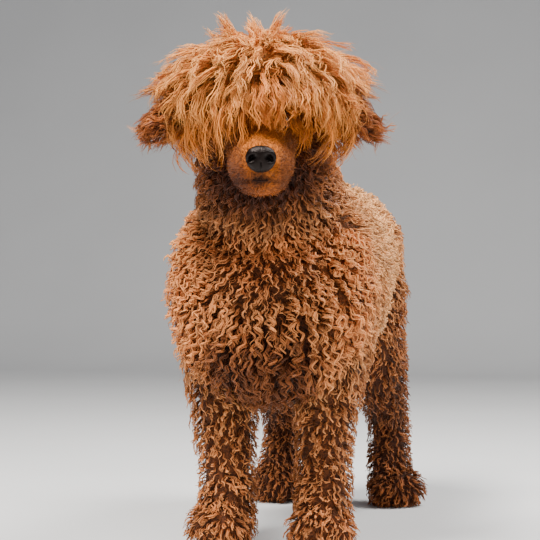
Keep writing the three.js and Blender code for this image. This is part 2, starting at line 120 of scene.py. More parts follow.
def smooth(low: float, high: float, x: Array) -> Array:
    """An S-shaped step from 0 at low to 1 at high."""
    t = np.clip((x - low) / (high - low), 0, 1)
    return t * t * (3 - 2 * t)


def linear(rgb: Triple) -> Array:
    """A colour of 0 to 255 steps as linear light."""
    c = np.array(rgb, float) / 255
    return np.where(c <= 0.04045, c / 12.92, ((c + 0.055) / 1.055) ** 2.4)


def lip_level(x: Array, y: Array) -> Array:
    """Height of the mouth's line in the head's mm: falling to both sides, and rising evenly to the corners."""
    return LIP_LEVEL - 0.011 * x**2 + 0.13 * (y + 150)


def off_chin(own: Array) -> Array:
    """Distance from the chin of points in the head's mm, measured in a stretched ball."""
    return np.linalg.norm((own - np.array(CHIN_AT)) / CHIN_STRETCH, axis=1)


def eye_lines(sign: int) -> tuple[Array, Array]:
    """Middle and line of sight of the left eye, or of the right one for -1, in the head's mm."""
    flip = np.array([sign, 1, 1])
    return np.array(EYE_AT) * flip, unit(np.array(EYE_GAZE) * flip)


def spline(points: Array, t: Array) -> Array:
    """A centripetal Catmull-Rom curve, with its ends run straight on.

    Args:
        points: the points it runs through.
        t: where it is read, 0 to 1 from end to end.

    Returns:
        The points at t.
    """
    pad = np.vstack([2 * points[0] - points[1], points, 2 * points[-1] - points[-2]])
    x = np.clip(t, 0, 1) * (len(points) - 1)
    i = np.minimum(x.astype(int), len(points) - 2)
    f = (x - i)[:, None]
    p0, p1, p2, p3 = (pad[i + k] for k in range(4))
    gaps = (np.linalg.norm(b - a, axis=1, keepdims=True) for a, b in ((p0, p1), (p1, p2), (p2, p3)))
    d0, d1, d2 = (np.maximum(gap, 1e-9) ** 0.5 for gap in gaps)
    m1 = ((p1 - p0) / d0 - (p2 - p0) / (d0 + d1) + (p2 - p1) / d1) * d1
    m2 = ((p2 - p1) / d1 - (p3 - p1) / (d1 + d2) + (p3 - p2) / d2) * d1
    return p1 + f * m1 + f**2 * (3 * (p2 - p1) - 2 * m1 - m2) + f**3 * (2 * (p1 - p2) + m1 + m2)


class Zone(Enum):
    """The kinds of coat that the dog wears."""

    BACK = 0
    CHEST = 1
    NECK = 2
    LEG = 3
    PAW = 4
    TAIL = 5
    TOPKNOT = 6
    CHEEK = 7
    MUZZLE = 8
    EAR = 9


@dataclass(frozen=True)
class Wool:
    """How the hair of one zone grows.

    Attributes:
        rise: angle at which a lock leaves the skin, in degrees.
        settle: angle at its tip.
        hook: how late it turns from one angle to the other, above 1 near the tip.
        curl: radius of its winding, in mm.
        turns: how often it winds.
        width: full width of a strand, in mm.
        density: strands per square centimetre.
        lock: spacing of the locks, in mm.
        droop: how far a tip sags, as a share of the length.
        wander: how far locks turn from the lie, in radians.
        gather: how far strands draw in to their lock's middle line at the tip, as a share.
        loose: how far tips stray, as a share of the coat's height.
        colour: colour of the hair at half its length, in steps of 0 to 255.
    """

    rise: float
    settle: float
    hook: float
    curl: float
    turns: float
    width: float
    density: float
    lock: float
    droop: float
    wander: float
    gather: float
    loose: float
    colour: tuple[float, float, float]


WOOL: dict[Zone, Wool] = {
    Zone.BACK: Wool(72, 4, 0.8, 2.4, 1.9, 3.7, 2.1, 8.2, 0.02, 0.45, 0.62, 0.06, (188, 130, 79)),
    Zone.CHEST: Wool(74, 2, 0.8, 3.2, 2.6, 2.8, 5.3, 8.2, 0.04, 0.3, 0.72, 0.05, (201, 125, 68)),
    # the neck's hair is painted darker than the chest's, partly its own colour and partly painted shade under
    # the head
    Zone.NECK: Wool(74, 6, 0.8, 2.7, 2.2, 2.9, 3.12, 8.4, 0.03, 0.4, 0.72, 0.05, (172, 100, 51)),
    Zone.LEG: Wool(74, 8, 0.8, 2.4, 1.8, 3.0, 2.72, 7.6, 0.02, 0.45, 0.66, 0.06, (188, 115, 62)),
    Zone.PAW: Wool(70, 10, 0.85, 1.8, 1.2, 2.3, 7.2, 6.4, 0.02, 0.45, 0.6, 0.05, (188, 113, 60)),
    Zone.TAIL: Wool(72, 4, 0.8, 2.4, 1.8, 3.0, 3.6, 8.6, 0.0, 0.5, 0.6, 0.07, (188, 115, 62)),
    Zone.TOPKNOT: Wool(66, 0, 0.85, 3.4, 1.8, 1.6, 15.5, 8.0, 0.0, 0.3, 0.28, 0.14, (254, 170, 88)),
    Zone.CHEEK: Wool(46, 4, 0.85, 2.2, 1.2, 1.4, 12.0, 8.0, 0.3, 0.3, 0.5, 0.12, (178, 95, 40)),
    Zone.MUZZLE: Wool(32, 8, 0.9, 0.15, 0.5, 0.8, 34.0, 4.0, 0.06, 0.2, 0.4, 0.45, (194, 104, 12)),
    Zone.EAR: Wool(40, 2, 0.85, 3.0, 1.5, 1.8, 12.5, 8.0, 0.1, 0.25, 0.5, 0.11, (158, 85, 37)),
}

COLUMNS = tuple(part.name for part in fields(Wool) if part.name != "colour")


def wool_row(zone: Zone) -> Array:
    """A zone's numbers, in the order of COLUMNS."""
    return np.array([getattr(WOOL[zone], name) for name in COLUMNS])


@dataclass(frozen=True)
class Limb:
    """A rounded body along a middle line.

    Attributes:
        zone: the coat it wears.
        stations: x, y, z, half width of flesh, half depth of flesh, depth of coat, in mm.
        cap: share of the line over which each end is rounded.
        place: matrix to the row frame.
        lie_sign: 1 where the hair runs with the line, -1 against it.
    """

    zone: Zone
    stations: tuple[tuple[float, float, float, float, float, float], ...]
    cap: float = 0.12
    place: Matrix = ROW
    lie_sign: float = 1.0

    def mirrored(self) -> "Limb":
        """The same limb on the other side."""
        return replace(self, stations=tuple((-s[0], *s[1:]) for s in self.stations))

    def frames(self, t: Array) -> tuple[Array, Array, Array, Array, Array]:
        """The limb's lines, in its own mm.

        Args:
            t: where they are read, 0 to 1 along the middle line.

        Returns:
            Middle points, tangents, sideways and upward directions, and the three sizes.
        """
        table = np.array(self.stations)
        at = spline(table[:, :3], t)
        tangent = unit(spline(table[:, :3], t + 1e-3) - spline(table[:, :3], t - 1e-3))
        side = unit(np.array([1.0, 0, 0]) - tangent * tangent[:, :1])
        return at, tangent, side, np.cross(tangent, side), spline(table[:, 3:], t)

    def shell(self) -> tuple[Array, Array]:
        """The limb as a closed body: ellipses across the line, drawn in to a point at both ends.

        Returns:
            The points in the row frame and the triangles.
        """
        t = (1 - np.cos(np.linspace(0, np.pi, LIMB_GRID + 1))) / 2
        at, _, side, up, size = self.frames(t)
        past = np.maximum(0, np.maximum(1 - t / self.cap, 1 - (1 - t) / self.cap))
        half = (size[:, :2] + SKIN_SHARE * size[:, 2:]) * upright(np.sqrt(np.clip(1 - past**2, 1e-6, 1)))
        a = np.linspace(0, 2 * np.pi, LIMB_GRID, endpoint=False)
        across = side[:, None] * (half[:, :1] * np.cos(a))[..., None]
        upward = up[:, None] * (half[:, 1:] * np.sin(a))[..., None]
        grid = (at[:, None] + across + upward).reshape(-1, 3)
        return capped(moved(grid, self.place), tube_faces(LIMB_GRID + 1, LIMB_GRID), LIMB_GRID)

    def read(self, points: Array) -> tuple[Array, Array, Array, Array]:
        """How near each point lies to the limb.

        Args:
            points: points in the row frame.

        Returns:
            The distance from the middle line as a share of the half size, the tangent there, the coat's
            depth there in mm, and the place on the limb's unrolled surface, each part 0 to 1.
        """
        own = moved(points, self.place.inverted())
        t = np.linspace(0, 1, LIMB_READINGS)
        at, tangent, side, up, size = self.frames(t)
        half = size[:, :2] + SKIN_SHARE * size[:, 2:]
        best = np.full(len(own), 1e9)
        pick = np.zeros(len(own), int)
        for j in range(len(t)):
            d = own - at[j]
            q = (d @ side[j] / half[j, 0]) ** 2 + (d @ up[j] / half[j, 1]) ** 2
            q += (d @ tangent[j] / (0.7 * half[j].mean())) ** 2
            nearer = q < best
            best[nearer], pick[nearer] = q[nearer], j
        d = own - at[pick]
        angle = np.arctan2((d * up[pick]).sum(1), (d * side[pick]).sum(1))
        unrolled = np.stack([angle / (2 * np.pi) + 0.5, t[pick]], 1)
        way = unit(tangent[pick] @ np.array(self.place)[:3, :3].T) * self.lie_sign
        return np.sqrt(best), way, size[pick, 2], unrolled


def paw_place(x: float, y: float, degrees: float) -> Matrix:
    """The matrix of a paw that stands at x, y with its toes turned."""
    return ROW @ Matrix.Translation((x, y, 0)) @ turn("Z", degrees)


PAW_STATIONS = (
    (0, 34, 26, 17, 22, 20),
    (0, 8, 30, 25, 27, 24),
    (0, -22, 26, 29, 24, 25),
    (0, -46, 19, 24, 17, 22),
)
TORSO = Limb(
    Zone.BACK,
    (
        (0, -96, 398, 62, 78, 34),
        (0, -48, 386, 112, 130, 42),
        (0, 20, 388, 124, 142, 42),
        (0, 110, 397, 122, 138, 40),
        (0, 210, 413, 116, 119, 38),
        (0, 310, 432, 108, 101, 36),
        (0, 400, 442, 106, 96, 36),
        (0, 470, 446, 92, 84, 36),
        (0, 518, 452, 56, 56, 34),
    ),
)
NECK = Limb(
    Zone.NECK,
    (
        (0, 52, 420, 78, 84, 40),
        (0, 8, 486, 76, 78, 40),
        (-3, -42, 545, 68, 68, 40),
        (0, -80, 594, 60, 60, 38),
        (4, -98, 630, 50, 50, 30),
    ),
    lie_sign=-1,
)
FORELEG = Limb(
    Zone.LEG,
    (
        (88, 14, 380, 40, 58, 28),
        (86, 18, 300, 34, 48, 28),
        (80, 16, 236, 27, 34, 28),
        (75, 10, 170, 21, 24, 27),
        (74, 6, 105, 19, 21, 27),
        (74, 0, 58, 21, 25, 26),
        (74, -4, 20, 22, 28, 26),
    ),
)
HIND_LEG = Limb(
    Zone.LEG,
    (
        (72, 420, 452, 40, 66, 30),
        (80, 398, 380, 34, 72, 30),
        (86, 384, 316, 30, 58, 28),
        (92, 404, 256, 25, 40, 27),
        (94, 446, 200, 19, 27, 26),
        (95, 492, 150, 15, 22, 25),
        (97, 492, 100, 15, 20, 25),
        (100, 484, 56, 18, 24, 25),
        (102, 480, 20, 20, 28, 25),
    ),
)
TAIL = Limb(
    Zone.TAIL,
    (
        (6, 462, 486, 18, 18, 20),
        (-4, 500, 528, 15, 15, 24),
        (-34, 534, 580, 12, 12, 30),
        (-58, 550, 632, 9, 9, 32),
        (-70, 552, 668, 5, 5, 26),
    ),
)
MUZZLE = Limb(
    Zone.MUZZLE,
    (
        (0, -14, -40, 48, 40, 6),
        (0, -58, -50, 41, 34, 6),
        (0, -98, -56, 36, 32, 5),
        (0, -130, -60, 32, 30, 5),
        (0, -153, -63, 22, 21, 4),
    ),
    cap=0.16,
    place=HEAD,
    lie_sign=-1,
)
EAR = Limb(
    Zone.EAR,
    (
        (80, 20, 12, 9, 28, 14),
        (104, 18, 4, 7, 34, 16),
        (128, 14, -14, 6, 34, 18),
        (155, 12, -34, 5, 24, 18),
    ),
    cap=0.2,
    place=HEAD,
)
LIMBS: tuple[Limb, ...] = (
    TORSO,
    NECK,
    FORELEG,
    FORELEG.mirrored(),
    HIND_LEG,
    HIND_LEG.mirrored(),
    TAIL,
    MUZZLE,
    EAR,
    EAR.mirrored(),
    Limb(Zone.PAW, PAW_STATIONS, 0.3, paw_place(-74, -6, -24)),
    Limb(Zone.PAW, PAW_STATIONS, 0.3, paw_place(74, -6, 6)),
    Limb(Zone.PAW, PAW_STATIONS, 0.3, paw_place(-102, 488, -20)),
    Limb(Zone.PAW, PAW_STATIONS, 0.3, paw_place(106, 478, 30)),
)


class Body(IntEnum):
    """The bodies that the skin is fused from: those of LIMBS in their order, then two forms of the head."""

    TORSO = 0
    NECK = 1
    FORELEG_LEFT = 2
    FORELEG_RIGHT = 3
    HIND_LEG_LEFT = 4
    HIND_LEG_RIGHT = 5
    TAIL = 6
    MUZZLE = 7
    EAR_LEFT = 8
    EAR_RIGHT = 9
    FOREPAW_RIGHT = 10
    FOREPAW_LEFT = 11
    HINDPAW_RIGHT = 12
    HINDPAW_LEFT = 13
    CUSHION = 14
    SKULL = 15


@dataclass(frozen=True)
class Patch:
    """A soft-edged part of the dog where the coat is painted lighter or darker, as painted light and shade, or
    grows deeper or flatter.

    Attributes:
        change: what it adds to 1, as a share.
        edges: for each edge its direction (x, y, z, or side for the distance from the middle), where it
            starts and where it is full, in the dog's mm.
        body: the one body that it keeps to, or None.
    """

    change: float
    edges: tuple[tuple[str, float, float], ...]
    body: Body | None = None

    def over(self, mm: Array, pick: Array) -> Array:
        """The factor at each point.

        Args:
            mm: points in the dog's mm.
            pick: which body each belongs to.

        Returns:
            1 outside the patch, and 1 plus the change in its middle.
        """
        x, y, z = mm.T
        lines = {"x": x, "y": y, "z": z, "side": np.abs(x)}
        amount = self.change
        for direction, start, full in self.edges:
            amount = amount * smooth(start, full, lines[direction])
        return 1 + (amount if self.body is None else amount * (pick == self.body))


# Painted shade on the thighs from behind, the low chest and the legs' inner sides; painted light on the flanks
# and the top line.
PAINTED_LIGHT_AND_SHADE = (
    Patch(-0.5, (("y", 300, 400), ("z", 360, 260))),  # the thighs from behind
    Patch(-0.76, (("z", 372, 300), ("side", 100, 50), ("y", 60, -20)), Body.TORSO),  # the low chest
    Patch(0.2, (("side", 50, 115), ("z", 240, 330)), Body.TORSO),  # the flanks
    Patch(-0.25, (("z", 250, 180), ("side", 60, 20))),  # the legs' inner sides
    Patch(0.1, (("z", 480, 560), ("y", 60, 200))),  # the top line
)
DEPTHS = (
    Patch(-0.16, (("y", 100, 200),), Body.TORSO),  # the back and the belly
    Patch(0.45, (("x", -84, -108), ("z", 130, 190), ("z", 330, 260), ("y", 90, 89.999))),  # right elbow
)
LEGS = (Body.FORELEG_LEFT, Body.FORELEG_RIGHT, Body.HIND_LEG_LEFT, Body.HIND_LEG_RIGHT)
EARS = (Body.EAR_LEFT, Body.EAR_RIGHT)
PAWS = (Body.FOREPAW_RIGHT, Body.FOREPAW_LEFT, Body.HINDPAW_RIGHT, Body.HINDPAW_LEFT)
HEAD_FORMS: tuple[tuple[Triple, Triple], ...] = (  # middles and half sizes, in the head's mm
    (CUSHION_AT, CUSHION_HALF),
    (SKULL_AT, SKULL_HALF),
    ((0, -42, 22), (46, 26, 26)),  # forehead
    ((-30, -92, -62), (14, 44, 24)),  # right flew
    ((-34, -46, 10), (17, 14, 8)),  # right brow
    ((30, -92, -62), (14, 44, 24)),  # left flew
    ((34, -46, 10), (17, 14, 8)),  # left brow
    ((0, -102, -78), (39, 47, 25)),  # lower jaw
)
CHARTS = 4  # bodies in a row of the bake map, which has as many rows
THROAT = (-4.0, -110.0, 505.0)  # where the chest's hair parts, in the dog's mm
SOLE_LEVEL = 0.0012  # lowest height of the skin, in metres
MOP_DEPTH = (20, 52)  # least and most depth of the mop over the skin, in mm
FACE_DEPTH, CHEEK_DEPTH, CHEEK_MORE = 15, 14.0, 30  # coat on the face, the cheeks, and more behind them, in mm
LOW_CHEST = {  # how the wool changes down the chest, as shares of its numbers
    "settle": -8, "curl": 0.35, "turns": -0.1, "width": 0.1, "density": -0.35, "lock": 0.25,
    "droop": 3, "wander": 0.3, "gather": 0.15,
}  # fmt: skip
# How light the skin is painted next to its hair, 0.18 where unlisted: the darker skin is painted shade deep in
# the coat.
SKIN_SHADE_FACTOR = {Zone.MUZZLE: 0.9, Zone.TOPKNOT: 0.95, Zone.EAR: 0.5, Zone.CHEEK: 0.6}  # next to its hair


def tube_faces(rows: int, around: int, closed: bool = True) -> Array:
    """Quads of a grid whose rows are rings, with fans of quads left out at the ends.

    Args:
        rows: number of rings.
        around: points in a ring.
        closed: whether each ring joins up.

    Returns:
        Quads as an array of four indices each.
    """
    i, j = np.meshgrid(np.arange(rows - 1), np.arange(around if closed else around - 1), indexing="ij")
    k = (j + 1) % around
    here, above = i * around, (i + 1) * around
    return np.stack([here + j, here + k, above + k, above + j], -1).reshape(-1, 4)


def ball(at: Triple, half: Triple) -> tuple[Array, Array]:
    """A closed ellipsoid: a unit ball of rings, stretched and moved.

    Args:
        at: its middle, in the head's mm.
        half: its half sizes.

    Returns:
        The points in the row frame and the triangles.
    """
    around, along = BLOB_GRID
    u = np.linspace(1e-3, np.pi - 1e-3, along + 1)[:, None]
    a = np.linspace(0, 2 * np.pi, around, endpoint=False)
    unit_ball = np.stack([np.sin(u) * np.cos(a), np.sin(u) * np.sin(a), -np.cos(u) + 0 * a], -1)
    points = moved(unit_ball.reshape(-1, 3) * half + np.array(at), HEAD)
    return capped(points, tube_faces(along + 1, around), around)


def make_mesh(name: str, points: Array, faces: Array, rounded: bool = True) -> bpy.types.Object:
    """Puts whole arrays into a new mesh object.

    Args:
        name: name of the piece.
        points: corner points in metres.
        faces: indices, all faces with the same number of corners.
        rounded: smooth shading.

    Returns:
        The object, linked and at the origin.
    """
    mesh = bpy.data.meshes.new(name)
    count, corners = faces.shape
    mesh.vertices.add(len(points))
    mesh.vertices.foreach_set("co", np.ascontiguousarray(points, np.float32).ravel())
    mesh.loops.add(count * corners)
    mesh.loops.foreach_set("vertex_index", np.ascontiguousarray(faces, np.int32).ravel())
    mesh.polygons.add(count)
    mesh.polygons.foreach_set("loop_start", np.arange(0, count * corners, corners, dtype=np.int32))
    mesh.update(calc_edges=True)
    mesh.polygons.foreach_set("use_smooth", np.full(count, rounded))
    obj = bpy.data.objects.new(name, mesh)
    bpy.context.scene.collection.objects.link(obj)
    return obj


def capped(points: Array, faces: Array, around: int) -> tuple[Array, Array]:
    """Closes both ends of a tube of rings with a middle point each.

    Args:
        points: the rings' points, ring by ring.
        faces: the tube's quads.
        around: points in a ring.

    Returns:
        The points with the two new ones, and the faces as triangles.
    """
    rows = len(points) // around
    ends = np.stack([points[:around].mean(0), points[-around:].mean(0)])
    tris = np.vstack([faces[:, [0, 1, 2]], faces[:, [0, 2, 3]]])
    j = np.arange(around)
    k = (j + 1) % around
    first, last = len(points), len(points) + 1
    start = np.stack([np.full(around, first), k, j], 1)
    stop = np.stack([np.full(around, last), (rows - 1) * around + j, (rows - 1) * around + k], 1)
    return np.vstack([points, ends]), np.vstack([tris, start, stop])


def triangles_of(mesh: bpy.types.Mesh) -> Array:
    """The triangles of a mesh as an array of three indices each."""
    mesh.calc_loop_triangles()
    tris = np.empty(len(mesh.loop_triangles) * 3, np.int32)
    mesh.loop_triangles.foreach_get("vertices", tris)
    return tris.reshape(-1, 3)


def vertex_data(mesh: bpy.types.Mesh) -> tuple[Array, Array]:
    """Points and outward normals of a mesh's vertices."""
    co, no = (np.empty(len(mesh.vertices) * 3, np.float32) for _ in range(2))
    mesh.vertices.foreach_get("co", co)
    mesh.vertex_normals.foreach_get("vector", no)
    return co.reshape(-1, 3).astype(float), no.reshape(-1, 3).astype(float)


def value_node(nodes: bpy.types.Nodes, kind: str, **settings: object) -> bpy.types.Node:
    """A new node with its sockets set by name, and its own properties where no socket has the name.

    Args:
        nodes: the tree's nodes.
        kind: Blender's name of the node.
        settings: values by name, with _ for a space.

    Returns:
        The node.
    """
    node = nodes.new(kind)
    for key, value in settings.items():
        name = key.replace("_", " ")
        if name in node.inputs:
            node.inputs[name].default_value = value
        else:
            setattr(node, key, value)
    return node


def new_group(
    name: str, sockets: tuple[tuple[str, str], ...]
) -> tuple[bpy.types.NodeTree, bpy.types.Nodes, bpy.types.NodeLinks, bpy.types.Node, bpy.types.Node]:
    """A new shader group that gives a colour and a height.

    Args:
        name: name of the group.
        sockets: names and kinds of what goes in.

    Returns:
        The group, its nodes and links, and its two end nodes.
    """
    group = bpy.data.node_groups.new(name, "ShaderNodeTree")
    for way, some in (("INPUT", sockets), ("OUTPUT", (("Colour", "Color"), ("Height", "Float")))):
        for label, kind in some:
            group.interface.new_socket(label, in_out=way, socket_type=f"NodeSocket{kind}")
    nodes = group.nodes
    return group, nodes, group.links, nodes.new("NodeGroupInput"), nodes.new("NodeGroupOutput")


def tint_by_noise(links: bpy.types.NodeLinks, *row: bpy.types.Node) -> None:
    """Links a noise so that it tints the colour that enters a group, and gives its height.

    Args:
        links: the group's links.
        row: the group's first end node, the noise, the node that turns it into a shade, the mix and the
            group's last end node.
    """
    enter, noise, shade, mix, leave = row
    links.new(noise.outputs["Fac"], shade.inputs["Value"])
    links.new(enter.outputs["Colour"], mix.inputs["A"])
    links.new(shade.outputs[0], mix.inputs["B"])
    links.new(mix.outputs["Result"], leave.inputs["Colour"])
    links.new(noise.outputs["Fac"], leave.inputs["Height"])


@dataclass(frozen=True)
class CoatFinish:
    """Finish of hair and skin. The colour is painted on the mesh, and a noise tints and raises it.

    Attributes:
        roughness: roughness of the surface.
        streak: share of the tint along a strand.
        sheen: weight of the soft light at the edges.
        curls: curls of the undercoat per metre.
    """

    roughness: float = 0.45
    streak: float = 0.6
    sheen: float = 0.04
    curls: float = 150.0

    def streaks(self) -> bpy.types.NodeTree:
        """A shader group: streaks along a strand's own map, as a tinted colour and a height."""
        sockets = (("Colour", "Color"), ("Map", "Vector"), ("Strength", "Float"))
        group, nodes, links, enter, leave = new_group("HairStreaks", sockets)
        stretch = value_node(nodes, "ShaderNodeMapping", Scale=(9.0, 0.7, 1.0))
        noise = value_node(nodes, "ShaderNodeTexNoise", Scale=1.0, Detail=3.0)
        shade = value_node(nodes, "ShaderNodeMapRange", From_Min=0.3, From_Max=0.7, To_Min=0.62, To_Max=1.22)
        mix = value_node(nodes, "ShaderNodeMix", data_type="RGBA", blend_type="MULTIPLY")
        links.new(enter.outputs["Map"], stretch.inputs["Vector"])
        links.new(stretch.outputs[0], noise.inputs["Vector"])
        links.new(enter.outputs["Strength"], mix.inputs["Factor"])
        tint_by_noise(links, enter, noise, shade, mix, leave)
        return group

    def wool(self) -> bpy.types.NodeTree:
        """A shader group: the tangled undercoat, as warped cells that tint a colour and give a height."""
        sockets = (("Colour", "Color"), ("Place", "Vector"), ("Curls per metre", "Float"))
        group, nodes, links, enter, leave = new_group("Undercoat", sockets)
        noise = value_node(nodes, "ShaderNodeTexNoise", Detail=4.0, Roughness=0.6, Distortion=1.6)
        shade = value_node(nodes, "ShaderNodeMapRange", From_Min=0.36, From_Max=0.64, To_Min=0.35, To_Max=1.6)
        mix = value_node(nodes, "ShaderNodeMix", data_type="RGBA", blend_type="MULTIPLY", Factor=1.0)
        links.new(enter.outputs["Place"], noise.inputs["Vector"])
        links.new(enter.outputs["Curls per metre"], noise.inputs["Scale"])
        tint_by_noise(links, enter, noise, shade, mix, leave)
        return group

    def material(self, name: str, strands: bool) -> bpy.types.Material:
        """The material of a coat piece, or of the skin.

        Args:
            name: material name.
            strands: whether the mesh has a strand map; the skin reads Object coordinates instead.

        Returns:
            The material.
        """
        mat, nodes, links, shader = blank(name)
        painted = value_node(nodes, "ShaderNodeAttribute", attribute_name="Coat")
        look = nodes.new("ShaderNodeGroup")
        look.node_tree = self.streaks() if strands else self.wool()
        if strands:
            look.inputs["Strength"].default_value = self.streak
            where = value_node(nodes, "ShaderNodeUVMap", uv_map="Strand")
            links.new(where.outputs[0], look.inputs["Map"])
        else:
            look.inputs["Curls per metre"].default_value = self.curls
            where = nodes.new("ShaderNodeTexCoord")
            links.new(where.outputs["Object"], look.inputs["Place"])
        links.new(painted.outputs["Color"], look.inputs["Colour"])
        links.new(look.outputs["Colour"], shader.inputs["Base Color"])
        bump = value_node(nodes, "ShaderNodeBump", Strength=0.5, Distance=0.0006 if strands else 0.004)
        links.new(look.outputs["Height"], bump.inputs["Height"])
        links.new(bump.outputs[0], shader.inputs["Normal"])
        shader.inputs["Roughness"].default_value = self.roughness
        shader.inputs["Specular IOR Level"].default_value = 0.2
        shader.inputs["Sheen Weight"].default_value = self.sheen
        shader.inputs["Sheen Roughness"].default_value = 0.5
        shader.inputs["Sheen Tint"].default_value = (1.0, 0.8, 0.6, 1.0)
        return mat


def blank(name: str) -> tuple[bpy.types.Material, bpy.types.Nodes, bpy.types.NodeLinks, bpy.types.Node]:
    """A new node material with its Principled shader."""
    mat = bpy.data.materials.new(name)
    mat.use_nodes = True
    tree = mat.node_tree
    return mat, tree.nodes, tree.links, next(n for n in tree.nodes if n.type == "BSDF_PRINCIPLED")


def paint(obj: bpy.types.Object, colours: Array) -> None:
    """Writes a linear colour for each vertex as the attribute that the coat's finish reads."""
    layer = obj.data.color_attributes.new("Coat", "FLOAT_COLOR", "POINT")
    rgba = np.concatenate([colours, np.ones((len(colours), 1))], 1)
    layer.data.foreach_set("color", rgba.astype(np.float32).ravel())


def add_map(obj: bpy.types.Object, name: str, per_vertex: Array) -> None:
    """Adds a UV map from one pair of numbers for each vertex."""
    layer = obj.data.uv_layers.new(name=name)
    index = np.empty(len(obj.data.loops), np.int32)
    obj.data.loops.foreach_get("vertex_index", index)
    layer.uv.foreach_set("vector", per_vertex[index].astype(np.float32).ravel())


@dataclass
class Growth:
    """What each point of the skin says about the hair that grows there, one row for each point.

    Heights are in metres, the wool's numbers in mm as in WOOL.
    """

    zone: Array
    way: Array
    height: Array
    numbers: Array
    colour: Array
    unrolled: Array

    def column(self, name: str) -> Array:
        """One of the numbers of the wool, for every point."""
        return self.numbers[:, COLUMNS.index(name)]


